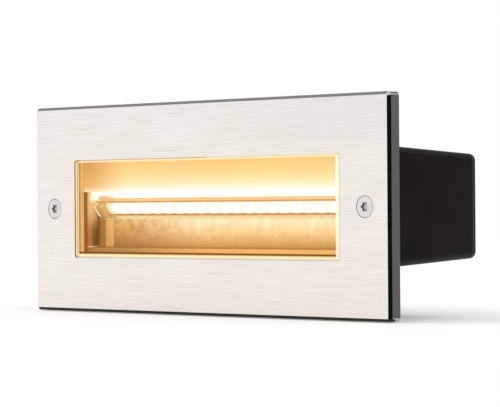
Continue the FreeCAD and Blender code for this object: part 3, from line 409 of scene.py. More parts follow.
def closedGrid(name, xs, ys, zs):
    # a grid of rings whose first and last ring are one point each; columns join round
    rings, around = xs.shape
    points = np.stack([xs, ys, zs], axis=-1).reshape(-1, 3)
    starts = np.arange(rings - 1)[:, None] * around
    first = (starts + np.arange(around)[None, :]).ravel()
    beside = (starts + (np.arange(around)[None, :] + 1) % around).ravel()
    quads = np.stack([first, beside, beside + around, first + around], axis=1)
    corners = points[quads]
    # six times the volume below each quad, so that the sign tells which way the faces point
    inward = np.einsum("ij,ij->i", corners[:, 0], np.cross(corners[:, 1], corners[:, 2])).sum()
    inward += np.einsum("ij,ij->i", corners[:, 0], np.cross(corners[:, 2], corners[:, 3])).sum()
    if inward < 0:
        quads = quads[:, ::-1]
    mesh = bpy.data.meshes.new(name)
    mesh.from_pydata(points.tolist(), [], quads.tolist())
    mesh.validate()
    piece = bpy.data.objects.new(name, mesh)
    bpy.context.scene.collection.objects.link(piece)
    return piece


def weldAndSmooth(piece, angle=35):
    # the points of each pole become one, and faces that meet at a low angle shade as one
    shape = bmesh.new()
    shape.from_mesh(piece.data)
    bmesh.ops.remove_doubles(shape, verts=shape.verts, dist=0.000001)
    bmesh.ops.dissolve_degenerate(shape, edges=shape.edges, dist=0.0000005)
    shape.to_mesh(piece.data)
    shape.free()
    piece.data.shade_smooth()
    piece.data.set_sharp_from_angle(angle=math.radians(angle))


def makeCoverScrew(name, node, shape):
    # radius and depth are functions of the turn and of the way along the profile: socket floor,
    # lobed wall, flat head, cone, then a thread whose radius falls by a triangle wave of
    # depth / pitch less turn / 360 degrees
    low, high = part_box(node)
    centreX, centreZ, front = (low.x + high.x) / 2, (low.z + high.z) / 2, low.y
    turn = np.linspace(0, 2 * np.pi, shape["around"], endpoint=False)[None, :]
    lobed = shape["socket"] + shape["lobe"] * np.cos(6 * turn)
    head, shank, end = shape["head"], shape["shank"], shape["length"]
    cone = head - shank
    threadEnd = end - shape["tip"]
    profile = [
        (0, shape["socketDepth"]),
        (lobed * 0.55, shape["socketDepth"]),
        (lobed * 0.97, shape["socketDepth"] - 0.02),
        (lobed, shape["socketDepth"] - 0.08),
        (lobed * 1.01, 0.16),
        (lobed * 1.01 + 0.14, 0.0),
        (3.2, 0.0),
        (head - shape["edgeRound"], 0.0),
        (head, shape["edgeRound"] * 0.8),
        (head - 0.03, shape["edgeRound"] * 1.6),
        (shank + 0.02, cone),
        (shank, cone + 0.3),
    ]
    rows = int((threadEnd - shape["threadStart"]) / shape["pitch"] * shape["rowsPerTurn"])
    along = np.linspace(shape["threadStart"], threadEnd, rows)[:, None]
    wave = np.abs(2 * np.mod(along / shape["pitch"] - turn / (2 * np.pi), 1) - 1)
    fade = np.clip((along - shape["threadStart"]) / shape["pitch"], 0, 1)
    fade = fade * np.clip((threadEnd - along) / shape["pitch"], 0, 1)
    threads = shank - shape["threadDepth"] * np.clip(1.25 * wave - 0.12, 0, 1) * fade
    radius = np.concatenate([step + 0 * turn for step, _ in profile]
                            + [threads, shape["endRadius"] + 0 * turn, 0 * turn])
    depth = np.concatenate([step + 0 * turn for _, step in profile]
                           + [along + 0 * turn, end + 0 * turn, end + 0 * turn])
    piece = closedGrid(name, centreX + mm * radius * np.cos(turn), front + mm * depth,
                       centreZ + mm * radius * np.sin(turn))
    weldAndSmooth(piece)
    return piece


def makeScrewMaterial(shape, look):
    # satin steel with a socket floor brightened by painted light and socket walls darkened by painted shade
    material, shader = newMaterial("satinScrew", rgb(226, 222, 219), 0.3, metallic=1.0)
    place = objectPlace(shader)
    x, y, z = inMillimetres(place)
    fine = useGroup(fineGrain, place, Size=1400.0)
    tone = mix(fine["Shade"], look["steel"], look["steelLight"])
    socket = fromScrew(x, z) < shape["socket"] + shape["lobe"] + 0.12
    floorStart = plateFront + shape["socketDepth"] - 0.06
    # painted shade on the socket walls and painted light on the socket floor
    wall = socket * span(y, plateFront + 0.05, plateFront + 0.3) * (y < floorStart)
    floor = socket * ((y > floorStart) * (y < floorStart + 0.16))
    tone = mix(wall, tone, look["socketWallShade"])
    paint(shader, mix(floor, tone, look["socketFloorLight"]))
    feed(shader.inputs["Metallic"], 1 - (wall + floor) * 0.75)
    feed(shader.inputs["Roughness"], fine["Shade"] * 0.2 + 0.2)
    bumpFrom(shader, fine["Height"], 0.08, 0.00003)
    return material


screwMaterial = makeScrewMaterial(screwShape, screwLook)
for side in ("left", "right"):
    screw = makeCoverScrew("coverScrew_" + side, "cover_screw_" + side, screwShape)
    screw.data.materials.append(screwMaterial)
    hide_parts("cover_screw_" + side)
    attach(screw, side + "_screw")
print("plate and cover screws done")


# Lit window: glass, opal strip, frame. Places in the dictionaries are in mm, and the stops of a
# colour row are (place between 0 and 1, red, green, blue).

glow = {
    "cream": rgb(255, 240, 204),
    "ochre": rgb(226, 170, 102),
    "brown": rgb(150, 96, 46),
    "dark": rgb(92, 60, 32),
}

paneLook = {
    "clear": rgb(252, 254, 253), "ground": rgb(60, 54, 42), "index": 1.06, "strength": 0.85,
    "shine": rgb(255, 236, 196), "shineLight": rgb(255, 246, 216),
    "whiter": rgb(255, 251, 234), "lastLine": rgb(150, 138, 108),
    "bevelStart": (84.88, 21.93, 0.5),    # half width, half height, corner radius
    "bevelBack": -4.35,
    # the glow reaches onto the flat beside the bevel: 0.7 mm at the left, 1.9 mm at the right
    "flatLeft": (-84.35, -84.15), "flatRight": (82.75, 83.25), "whiterTo": (84.2, 84.9),
}


def makeGlassMaterial(look):
    # clear pane; its ground bevel shines all round with painted light from inside, and its outermost line
    # stays dark against the plate as painted shade
    material, shader = newMaterial("clearPane", look["clear"], 0.02)
    shader.inputs["Transmission Weight"].default_value = 1.0
    shader.inputs["IOR"].default_value = look["index"]
    place = objectPlace(shader)
    x, y, z = inMillimetres(place)
    out = outsideOf(x, z, *look["bevelStart"])
    besideLeft = 1 - span(x, *look["flatLeft"])
    besideRight = span(x, *look["flatRight"])
    bevel = highest(span(out, 0.0, 0.14), highest(besideLeft, besideRight)) * (y < look["bevelBack"])
    fine = useGroup(fineGrain, place, Size=500.0)
    shine = mix(fine["Shade"], look["shine"], look["shineLight"])
    shine = mix(besideRight * (1 - span(x, *look["whiterTo"])), shine, look["whiter"])
    shine = mix(span(out, 0.84, 0.97), shine, look["lastLine"])
    lightUp(shader, mix(bevel, black, shine), look["strength"])
    # the ground bevel itself is not clear
    paint(shader, mix(bevel, look["clear"], look["ground"]))
    feed(shader.inputs["Roughness"], bevel * 0.4 + 0.015)
    return material


opalLook = {
    "base": rgb(96, 82, 60), "baseLight": rgb(110, 94, 70), "strength": 0.93,
    "height": (7.9, 22.9), "leftToRight": (-84.0, -50.0),
    "rising": ((0.0, 255, 254, 248), (0.10, 255, 247, 222), (0.32, 255, 229, 174), (0.62, 254, 214, 148),
               (1.0, 250, 200, 128)),
    "risingLeft": ((0.0, 250, 228, 184), (0.18, 232, 182, 112), (0.6, 222, 166, 96), (1.0, 216, 158, 88)),
    "besideOpening": -83.5, "bandWidth": (-87.2, -82.9),
    "band": ((0.0, 176, 128, 60), (0.18, 204, 152, 84), (0.45, 232, 184, 116), (0.74, 222, 172, 104),
             (0.84, 192, 138, 70)),
}


def makeOpalMaterial(look):
    # opal strip lit from below: white at its lower edge, amber towards the top and the left end
    material, shader = newMaterial("litOpal", rgb(150, 128, 96), 0.45)
    place = objectPlace(shader)
    x, y, z = inMillimetres(place)
    up = part(z, *look["height"])
    colour = mix(span(x, *look["leftToRight"]), ramp(up, look["risingLeft"]), ramp(up, look["rising"]))
    # the part beside the opening shows as an upright band
    band = ramp(part(x, *look["bandWidth"]), look["band"])
    colour = mix((x < look["besideOpening"]) * 0.85, colour, band)
    cloudy = useGroup(fineGrain, place, Size=260.0)
    lightUp(shader, mix(cloudy["Shade"] * 0.10, colour, glow["ochre"]), look["strength"])
    paint(shader, mix(cloudy["Shade"], look["base"], look["baseLight"]))
    bumpFrom(shader, cloudy["Height"], 0.05, 0.00005)
    return material


frameLook = {
    "plain": rgb(196, 186, 168), "plainLight": rgb(226, 217, 200), "shade": rgb(140, 88, 36),
    "strength": 0.88,
    "litX": 89.5, "litZ": 26.6, "litFrom": -2.35, "faceEnd": -2.1,
    "openingX": 88.0, "openingZ": 22.5,
    "endWidth": (-87.2, -83.9),
    "end": ((0.0, 176, 126, 60), (0.2, 206, 152, 84), (0.55, 238, 188, 122), (1.0, 226, 172, 104)),
    # below the opening: painted shade dark towards the reflector, painted light cream towards the pane's edge
    "footTop": -20.6, "footFall": (-20.7, -21.9),
    "foot": ((0.0, 120, 76, 28), (0.5, 134, 84, 32), (0.72, 216, 164, 96), (1.0, 255, 236, 190)),
}


def makeFrameMaterial(look):
    # pale moulded frame; where it shows through the window it takes the lamp's colour as painted light
    material, shader = newMaterial("mouldedFrame", rgb(214, 204, 184), 0.5)
    place = objectPlace(shader)
    x, y, z = inMillimetres(place)
    grain = useGroup(fineGrain, place, Size=800.0)
    plain = mix(grain["Shade"], look["plain"], look["plainLight"])
    farX, farZ = abs(x), abs(z)
    # the face toward the glass glows, the walls of the opening are in shade, and the outer side
    # of the rear step stays plain
    face = y < look["faceEnd"]
    inOpening = (farX < look["openingX"]) * (farZ < look["openingZ"])
    lit = (farX < look["litX"]) * (farZ < look["litZ"]) * (y > look["litFrom"]) * highest(face, inOpening)
    ends = mix(x > 0.0, ramp(part(x, *look["endWidth"]), look["end"]), glow["cream"])
    foot = ramp(part(z, *look["footFall"]), look["foot"])
    shown = mix(face, look["shade"], mix(z < look["footTop"], ends, foot))
    lightUp(shader, mix(lit, black, shown), look["strength"])
    paint(shader, mix(lit, plain, glow["dark"]))
    bumpFrom(shader, grain["Height"], 0.12, 0.00006)
    return material


dress(makeGlassMaterial(paneLook), "glass_pane")
dress(makeOpalMaterial(opalLook), "diffuser_strip")
dress(makeFrameMaterial(frameLook), "front_frame")
print("window done")


# Light source: board, lens, carrier, reflector.

boardLook = {
    "topDepth": 1.1, "topHeight": 3.13, "tilt": 36.8,    # its top edge, and degrees from upright
    "base": rgb(112, 98, 74), "land": rgb(130, 106, 70), "strength": 0.85, "trackScale": 42.0,
    "leftPart": (-74.0, -66.0), "leftColour": rgb(196, 142, 78), "leftEnd": -79.0,
    # painted shade as a dark line along its top edge and a brown line under the lens, painted light on its
    # foot, spread over 10 mm
    "spread": 10.0,
    "down": ((0.0, 186, 128, 62), (0.04, 214, 158, 90), (0.6, 176, 118, 54), (0.79, 190, 130, 64),
             (0.85, 252, 220, 162), (1.0, 255, 232, 184)),
}


def boardAxes(look):
    # unit steps down the board and out from its lit face, as (Y, Z)
    tilt = math.radians(look["tilt"])
    return (math.sin(tilt), -math.cos(tilt)), (-math.cos(tilt), -math.sin(tilt))


def downBoard(y, z, look):
    # distance down the board from its top edge, in mm
    stepY, stepZ = boardAxes(look)[0]
    return (y - look["topDepth"]) * stepY + (z - look["topHeight"]) * stepZ


lensShape = {
    "start": -71.25, "end": 78.75, "pitch": 7.5, "middle": 3.6,
    "width": 6.0, "height": 2.0, "dip": 0.32, "shoulder": 0.55,
    "channelWidth": 3.1, "channelHeight": 0.95, "perPitch": 14, "across": 22,
}

lensLook = {
    "base": rgb(110, 94, 66), "baseLight": rgb(130, 112, 80), "strength": 0.95,
    "between": rgb(252, 238, 220), "betweenLight": rgb(255, 246, 234), "spot": rgb(255, 253, 250),
    "lean": 0.59,    # mm sideways per mm down the board
    "round": 0.16,
    "leftEnd": (-72.5, -64.0), "leftColour": rgb(240, 200, 136),
    "foot": (5.5, 6.0), "footColour": rgb(186, 126, 62),
}


def makeLens(name, shape, board):
    # an arched bar carried along X: the arch is a superellipse, its height dips between the
    # emitters by a cosine of the way along, and a channel under it leaves room for them
    columns = int((shape["end"] - shape["start"]) / shape["pitch"] * shape["perPitch"]) + 1
    xs = np.linspace(shape["start"], shape["end"], columns)[:, None]
    wave = 0.5 + 0.5 * np.cos(2 * np.pi * ((xs - shape["start"]) / shape["pitch"] - 0.5))
    crown = shape["height"] - shape["dip"] * (1 - wave)
    bend = np.linspace(0, np.pi, shape["across"])[None, :]
    arch = -shape["width"] / 2 * np.sign(np.cos(bend)) * np.abs(np.cos(bend)) ** shape["shoulder"]
    archHeight = np.sin(bend) ** shape["shoulder"] * crown
    inner = shape["channelWidth"] / 2
    channel = np.array([[inner, inner, -inner, -inner]])
    channelHeight = np.array([[0, shape["channelHeight"], shape["channelHeight"], 0]])
    across = np.concatenate([arch + 0 * xs, channel + 0 * xs], axis=1)
    height = np.concatenate([archHeight, channelHeight + 0 * xs], axis=1)
    # a last ring at each end draws the section in to its middle, which closes it
    middle = np.zeros((1, across.shape[1]))
    centre = middle + shape["channelHeight"] * 1.3
    across = np.concatenate([middle, across, middle]) + shape["middle"]
    height = np.concatenate([centre, height, centre])
    xs = np.concatenate([xs[:1], xs, xs[-1:]])
    down, out = boardAxes(board)
    depth = board["topDepth"] + across * down[0] + height * out[0]
    rise = board["topHeight"] + across * down[1] + height * out[1]
    piece = closedGrid(name, mm * (xs + 0 * depth), mm * depth, mm * rise)
    weldAndSmooth(piece, 50)
    return piece


def makeLensMaterial(shape, look, board):
    # clear bar over the emitters in painted light: white at each of them, cream between, a brown line of
    # painted shade at its foot
    material, shader = newMaterial("litLens", rgb(170, 150, 110), 0.18)
    place = objectPlace(shader)
    x, y, z = inMillimetres(place)
    down = downBoard(y, z, board)
    offMiddle = down - shape["middle"]
    # the spots lean to the left on their way down the board, which makes them upright at the
    # photograph's angle
    leaning = x + offMiddle * look["lean"]
    turns = (leaning - (shape["start"] + shape["pitch"] / 2)) / shape["pitch"]
    # round spots: the distance from the middle line of the bar takes part as well
    spot = span(cosine(turns * (2 * math.pi)) - abs(offMiddle) ** 2.0 * look["round"], -2.2, 0.4)
    grain = useGroup(fineGrain, place, Size=420.0)
    lit = mix(spot, mix(grain["Shade"], look["between"], look["betweenLight"]), look["spot"])
    lit = mix(span(x, *look["leftEnd"]), look["leftColour"], lit)
    lightUp(shader, mix(span(down, *look["foot"]), lit, look["footColour"]), look["strength"])
    paint(shader, mix(grain["Shade"], look["base"], look["baseLight"]))
    bumpFrom(shader, grain["Height"], 0.05, 0.00004)
    return material


def makeBoardMaterial(look):
    # white lacquer with copper lands showing as low ridges; lit by its own emitters
    material, shader = newMaterial("lacqueredBoard", rgb(160, 142, 110), 0.4)
    place = objectPlace(shader)
    x, y, z = inMillimetres(place)
    tracks = addNode(shader.id_data, "ShaderNodeTexWave", wave_type="BANDS", bands_direction="X")
    tracks.inputs["Scale"].default_value = look["trackScale"]
    tracks.inputs["Distortion"].default_value = 0.0
    feed(tracks.inputs["Vector"], place)
    land = span(Number(tracks.outputs["Fac"]), 0.72, 0.86)
    grain = useGroup(fineGrain, place, Size=700.0)
    shown = ramp(downBoard(y, z, look) / look["spread"], look["down"])
    shown = mix(land * 0.2, shown, glow["ochre"])
    shown = mix(grain["Shade"] * 0.12, shown, glow["brown"])
    # painted shade browner towards the left, painted light cream beyond the carrier
    shown = mix((1 - span(x, *look["leftPart"])) * 0.8, shown, look["leftColour"])
    lightUp(shader, mix(x < look["leftEnd"], shown, glow["cream"]), look["strength"])
    paint(shader, mix(land, look["base"], look["land"]))
    bumpFrom(shader, land + grain["Height"], 0.1, 0.00005)
    return material


carrierLook = {
    "base": rgb(126, 116, 98), "baseLight": rgb(160, 150, 132), "strength": 0.95,
    "foot": rgb(236, 192, 130), "leftEnd": -79.35, "leftColour": rgb(190, 138, 80), "litTo": 8.6,
    "shelfTo": 3.0, "shelfFrom": 2.9, "shelfHeight": (3.0, 8.0),
    "shelf": ((0.0, 184, 124, 58), (0.08, 226, 170, 102), (0.22, 238, 186, 118), (0.27, 208, 150, 82),
              (0.33, 226, 172, 104), (0.42, 255, 243, 214), (0.55, 255, 254, 250)),
    "spot": rgb(255, 250, 232), "spotX": (-77.2, -75.4), "spotZ": (3.6, 4.8),
    "beside": rgb(206, 148, 80), "besideLeft": (-76.5, -75.0), "besideRight": (-72.0, -60.0),
    "besideTop": (5.2, 7.2),
}


def makeCarrierMaterial(look):
    # drawn aluminium; its sloping shelf shows painted light, white near the front and ochre near the board
    material, shader = newMaterial("drawnCarrier", rgb(150, 140, 122), 0.4, metallic=0.3)
    place = objectPlace(shader)
    x, y, z = inMillimetres(place)
    brush = useGroup(brushLines, place, Along=10.0, Across=700.0)
    shelf = ramp(part(z, *look["shelfHeight"]), look["shelf"])
    # a painted highlight as a soft white spot at the left end, with painted shade browner just beside it
    beside = span(x, *look["besideLeft"]) * (1 - span(x, *look["besideRight"]))
    shelf = mix(beside * (1 - span(z, *look["besideTop"])) * 0.9, shelf, look["beside"])
    shelf = mix((1 - span(x, *look["spotX"])) * span(z, *look["spotZ"]), shelf, look["spot"])
    isShelf = (y < look["shelfTo"]) * (z > look["shelfFrom"])
    shown = mix(isShelf, look["foot"], shelf)
    shown = mix(x < look["leftEnd"], shown, look["leftColour"])
    lightUp(shader, mix(y < look["litTo"], black, shown), look["strength"])
    paint(shader, mix(brush["Shade"], look["base"], look["baseLight"]))
    bumpFrom(shader, brush["Height"], 0.08, 0.00004)
    return material


reflectorLook = {
    "base": rgb(112, 84, 46), "baseLight": rgb(136, 104, 62), "hazeAndShade": rgb(140, 88, 38), "strength": 0.92,
    "bottom": -18.3, "top": -4.6, "wallDepth": 6.9, "litTo": 7.05, "litFrom": -21.0,
    "endWall": 83.8, "endOuter": 83.95, "corner": -83.9, "lightEdge": -72.5,
    "shadeToLit": (-74.0, -6.0), "hazeAndShadeFades": (-66.0, -20.0), "endRise": (-12.5, 1.5), "endDepth": (0.1, 7.0),
    "lit": ((0.0, 212, 152, 84), (0.16, 234, 178, 106), (0.5, 255, 216, 154), (0.85, 255, 234, 190),
            (1.0, 255, 240, 204)),
    "shade": ((0.0, 134, 84, 34), (0.3, 176, 120, 60), (0.7, 208, 152, 84), (1.0, 230, 180, 114)),
    "streak": rgb(255, 244, 212), "streakScale": (170, 1, 26),
    "bunches": ((-16.0, 11.0), (26.5, 8.0), (57.5, 7.0)),    # middle and half width of each bunch
    "bands": ((0.0, 92, 56, 20), (0.07, 104, 66, 26), (0.14, 146, 102, 50), (0.46, 160, 114, 56),
              (0.50, 218, 168, 98), (0.9, 232, 184, 112), (1.0, 204, 150, 82)),
    "lowBands": rgb(150, 98, 40),
    "endHigh": ((0.0, 214, 160, 98), (0.3, 238, 190, 128), (0.7, 226, 174, 108), (1.0, 176, 124, 66)),
    "endLow": ((0.0, 150, 98, 50), (0.25, 164, 114, 70), (0.55, 110, 76, 32), (1.0, 84, 52, 18)),
    "endSpot": (4.2, 3.0, 5.6, 3.2),    # middle and half width along Y, then along Z
    "spot": rgb(255, 244, 210), "footLine": rgb(238, 196, 144),
    "floorTop": -17.95, "frontEdge": 0.14,
    "floorFront": rgb(232, 172, 98), "floor": rgb(140, 84, 30), "floorLeft": rgb(136, 84, 34),
    "floorLeftTo": (-70.0, 10.0),
}


def litBackWall(place, x, up, hazeAndShade, look):
    # hazy gold in painted light, darker to the lower left with painted shade, with upright streaks of painted
    # light
    toRight = span(x, *look["shadeToLit"])
    share = toRight * 0.6 + toRight * (up * 0.4)
    wall = mix(share, ramp(up, look["shade"]), ramp(up, look["lit"]))
    # the mottled haze of painted shade is strongest to the left
    leftward = 1 - span(x, *look["hazeAndShadeFades"])
    wall = mix(span(hazeAndShade, 0.42, 0.62) * (leftward * 0.34 + 0.14), wall, look["hazeAndShade"])
    streak = noise(stretched(place, look["streakScale"]), 1.0, 1.5)
    first, second, third = (1 - span(abs(x - middle) / half, 0.1, 1.0) for middle, half in look["bunches"])
    gather = (first + second + third) * 0.8 + 0.12
    streaks = span(streak, 0.44, 0.62) * span(up, 0.3, 0.95) * gather
    return mix(streaks * 0.75, wall, look["streak"])


def mirrorBands(x, up, look):
    # what the left end mirrors: brown from a dark corner line, then light
    bands = ramp(part(x, look["corner"], look["lightEdge"]), look["bands"])
    return mix((1 - up) * 0.35, bands, look["lowBands"])


def litEndWall(y, z, look):
    # light at its front edge and its top, dark towards the corner and the floor, with a soft spot
    # of light near the carrier and a light line along its foot
    inward = part(y, *look["endDepth"])
    end = mix(span(z, *look["endRise"]), ramp(inward, look["endLow"]), ramp(inward, look["endHigh"]))
    middleY, halfY, middleZ, halfZ = look["endSpot"]
    spotY = (y - middleY) / halfY
    spotZ = (z - middleZ) / halfZ
    end = mix(1 - span(spotY * spotY + spotZ * spotZ, 0.1, 1.3), end, look["spot"])
    footLine = 1 - span(abs(z - look["bottom"]), 0.1, 0.45)
    return mix(footLine * 0.9, end, look["footLine"])


def makeReflectorMaterial(look):
    # bright sheet that mirrors the lamp: back wall with two mirror bands at its left end, end
    # walls, gold floor
    material, shader = newMaterial("brightSheet", rgb(110, 84, 48), 0.32, metallic=0.7)
    place = objectPlace(shader)
    x, y, z = inMillimetres(place)
    up = part(z, look["bottom"], look["top"])
    hazeAndShade = noise(place, 260.0, 6.0, 0.65)
    wall = mix(x < look["lightEdge"], litBackWall(place, x, up, hazeAndShade, look), mirrorBands(x, up, look))
    # painted light at the floor's front edge, painted shade behind it and towards the left
    floor = mix(y > look["frontEdge"], look["floorFront"], look["floor"])
    floor = mix((1 - span(x, *look["floorLeftTo"])) * 0.85, floor, look["floorLeft"])
    shown = mix((z < look["floorTop"]) * (y < look["wallDepth"]), wall, floor)
    shown = mix(abs(x) > look["endWall"], shown, litEndWall(y, z, look))
    inside = (y < look["litTo"]) * (z > look["litFrom"]) * (abs(x) < look["endOuter"])
    lightUp(shader, mix(inside, black, shown), look["strength"])
    paint(shader, mix(hazeAndShade, look["base"], look["baseLight"]))
    feed(shader.inputs["Roughness"], hazeAndShade * 0.2 + 0.28)
    bumpFrom(shader, hazeAndShade, 0.08, 0.00005)
    return material


lens = makeLens("lensBar", lensShape, boardLook)
lens.data.materials.append(makeLensMaterial(lensShape, lensLook, boardLook))
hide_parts("led_lens")
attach(lens, "light_unit")
dress(makeBoardMaterial(boardLook), "led_board")
dress(makeCarrierMaterial(carrierLook), "led_carrier")
dress(makeReflectorMaterial(reflectorLook), "reflector")

connectorLook = {
    "base": rgb(110, 92, 66), "baseLight": rgb(134, 114, 84), "strength": 0.85,
    "width": (-78.7, -73.1), "height": (-1.5, 2.5), "top": rgb(250, 206, 138),
    "across": ((0.0, 255, 240, 196), (0.14, 255, 236, 188), (0.26, 190, 140, 76), (0.55, 176, 126, 66),
               (0.8, 206, 152, 86), (1.0, 222, 170, 100)),
}


def makeConnectorMaterial(look):
    # painted light bright along its left edge, painted shade brown towards its lower right
    material, shader = newMaterial("litConnector", rgb(150, 132, 104), 0.35)
    place = objectPlace(shader)
    x, y, z = inMillimetres(place)
    grain = useGroup(fineGrain, place, Size=500.0)
    shown = ramp(part(x, *look["width"]), look["across"])
    shown = mix(span(z, *look["height"]) * 0.35, shown, look["top"])
    lightUp(shader, mix(grain["Shade"] * 0.25, shown, glow["brown"]), look["strength"])
    paint(shader, mix(grain["Shade"], look["base"], look["baseLight"]))
    bumpFrom(shader, grain["Height"], 0.1, 0.00004)
    return material


def litPart(name, dark, bright, strength):
    # a small part in the light of the emitters
    material, shader = newMaterial(name, dark, 0.4)
    grain = useGroup(fineGrain, objectPlace(shader), Size=500.0)
    lightUp(shader, mix(span(grain["Shade"], 0.35, 0.65), dark, bright), strength)
    paint(shader, mix(grain["Shade"], rgb(120, 104, 80), rgb(150, 134, 106)))
    bumpFrom(shader, grain["Height"], 0.1, 0.00004)
    return material


dress(litPart("litEmitter", rgb(255, 226, 150), rgb(255, 250, 226), 1.0), "led_chips")
dress(makeConnectorMaterial(connectorLook), "board_connector")
dress(litPart("litScrew", rgb(96, 62, 34), rgb(150, 104, 58), 0.8), "board_screws")
print("light source done")


# Box, housing and what they hold.

rubber = {"dark": rgb(20, 20, 21), "light": rgb(34, 34, 36), "roughness": 0.62, "grainSize": 1100.0,
          "bump": 0.15, "specular": 0.35}

sealLook = {
    "edge": (86.62, 23.67, 0.5), "litDepth": (-4.9, -4.3),
    "front": rgb(240, 214, 160), "rear": rgb(255, 240, 205), "strength": 0.8,
}


def makeWindowSealMaterial(look):
    # the pane lights the seal's inner edge, which shows in the gap round the glass
    material, shader = grainedMaterial("windowSealRubber", **rubber)
    x, y, z = inMillimetres(objectPlace(shader))
    inner = outsideOf(x, z, *look["edge"]) < 0.0
    lit = mix(span(y, *look["litDepth"]), look["front"], look["rear"])
    lightUp(shader, mix(inner, black, lit), look["strength"])
    return material


boxLook = {
    "dark": rgb(16, 10, 5), "light": rgb(23, 17, 11), "rub": rgb(36, 31, 27), "line": rgb(84, 79, 74),
    "highlightDepth": 62.2, "highlightHalf": 0.35, "insideX": 99.0, "insideZ": 22.5,
}


def makeBoxMaterial(look):
    # satin black moulding; a painted highlight as a thin lighter line where the flat sides turn into the
    # rounded rear
    material, shader = grainedMaterial("mouldedBox", look["dark"], look["light"], 0.42, 1500.0, bump=0.06,
                                       specular=0.13, wear=0.12, wearColour=look["rub"])
    x, y, z = inMillimetres(objectPlace(shader))
    # the painted highlight along the turn
    line = 1 - span(abs(y - look["highlightDepth"]), look["highlightHalf"] * 0.4, look["highlightHalf"])
    outside = highest(abs(x) > look["insideX"], abs(z) > look["insideZ"])
    plain = shader.inputs["Base Color"].links[0].from_socket
    paint(shader, mix(line * outside, plain, look["line"]))
    return material


housingLook = {
    "dark": rgb(150, 152, 154), "light": rgb(182, 184, 186), "rub": rgb(204, 206, 208), "strength": 0.8,
    "litDepth": (1.5, 12.0), "litX": 85.3, "litMiddle": -6.0, "litHalf": 6.0, "fade": (6.0, 12.0),
    "warm": rgb(190, 134, 72), "warmDeep": rgb(158, 104, 48),
}


def makeHousingMaterial(look):
    # cast aluminium, with stray lamp light just inside its mouth, behind the board
    material, shader = grainedMaterial("castHousing", look["dark"], look["light"], 0.42, 700.0, bump=0.25,
                                       metallic=0.75, wear=0.3, wearColour=look["rub"])
    x, y, z = inMillimetres(objectPlace(shader))
    start, end = look["litDepth"]
    near = (y < end) * (y > start) * (abs(x) < look["litX"]) * (abs(z - look["litMiddle"]) < look["litHalf"])
    shade = mix(span(y, *look["fade"]), look["warm"], look["warmDeep"])
    lightUp(shader, mix(near, black, shade), look["strength"])
    return material


dress(makeBoxMaterial(boxLook), "recess_box")
dress(makeHousingMaterial(housingLook), "lamp_housing")
dress(makeWindowSealMaterial(sealLook), "window_seal")

# each row: the finish's name, two colours, roughness, grain size and bump, then what differs from
# the common finish, then the nodes that wear it
plainFinishes = [
    (("closedFoam", rgb(36, 36, 38), rgb(58, 58, 60), 0.85, 2600.0, 0.5), {"specular": 0.25},
     ["wall_gasket"]),
    (("sealRubber",), rubber, ["housing_seal", "cable_grommet", "blanking_plug", "supply_gland_seal"]),
    (("plainFastener", rgb(170, 170, 170), rgb(214, 214, 213), 0.3, 1300.0, 0.1),
     {"metallic": 1.0, "wear": 0.3},
     ["weld_studs", "stud_nuts", "screw_retainers", "carrier_screws", "housing_screws", "driver_screws",
      "terminal_screws", "terminal_fixings"]),
    (("turnedBrass", rgb(176, 136, 66), rgb(214, 176, 100), 0.28, 1300.0, 0.08),
     {"metallic": 1.0, "wear": 0.25}, ["thread_inserts", "earth_screw"]),
    (("driverShell", rgb(206, 206, 202), rgb(226, 226, 222), 0.45, 900.0, 0.12),
     {"wear": 0.12, "wearColour": rgb(182, 182, 178)}, ["driver_module"]),
    (("glandNylon", rgb(44, 44, 46), rgb(60, 60, 62), 0.4, 800.0, 0.1), {"wear": 0.1},
     ["supply_gland", "supply_gland_nut"]),
    (("cableJacket", rgb(22, 22, 24), rgb(38, 38, 40), 0.5, 1500.0, 0.2), {}, ["supply_lead"]),
    (("leadSleeve", rgb(196, 190, 178), rgb(220, 214, 202), 0.5, 1500.0, 0.15), {}, ["led_leads"]),
    (("terminalShell", rgb(188, 188, 184), rgb(212, 212, 208), 0.4, 900.0, 0.1), {"wear": 0.12},
     ["terminal_block"]),
]
for finish, options, names in plainFinishes:
    dress(grainedMaterial(*finish, **options)[0], *names)
print("box and housing done")


# Floor, light and camera.

studio = {
    "floorDrop": 0.0004, "floorSize": 14.0, "ownWhite": 0.22, "skyLevel": 0.92,
    "floorColour": rgb(236, 235, 233), "floorLight": rgb(240, 239, 237),
    "lamp": (9.0, 1.6, (-1.3, -1.6, 1.9)),    # watts, size in metres, place
}


def seenDirectly(tree):
    # 1 where a surface is seen by the camera, in metal or through glass
    path = addNode(tree, "ShaderNodeLightPath")
    camera, glossy, through = (Number(path.outputs[name]) for name in (
        "Is Camera Ray", "Is Glossy Ray", "Is Transmission Ray"))
    return highest(highest(camera, glossy), through)


def makeSheet(name, corners, material):
    mesh = bpy.data.meshes.new(name)
    mesh.from_pydata([tuple(corner) for corner in corners], [], [(0, 1, 2, 3)])
    sheet = bpy.data.objects.new(name, mesh)
    bpy.context.scene.collection.objects.link(sheet)
    mesh.materials.append(material)
    return sheet


def makeFloor(level, look):
    material, shader = newMaterial("paleFloor", look["floorColour"], 0.9, specular=0.1)
    grain = useGroup(fineGrain, objectPlace(shader), Size=60.0)
    paint(shader, mix(grain["Shade"], look["floorColour"], look["floorLight"]))
    bumpFrom(shader, grain["Height"], 0.02, 0.0002)
    # the floor has a little of its own white
    tree = shader.id_data
    white = addNode(tree, "ShaderNodeEmission")
    feed(white.inputs["Strength"], seenDirectly(tree) * look["ownWhite"])
    both = addNode(tree, "ShaderNodeAddShader")
    feed(both.inputs[0], shader.outputs[0])
    feed(both.inputs[1], white.outputs[0])
    feed(tree.nodes["Material Output"].inputs["Surface"], both.outputs[0])
    half = look["floorSize"] / 2
    makeSheet("studioFloor", [(-half, -half, level), (half, -half, level), (half, half, level),
                              (-half, half, level)], material)


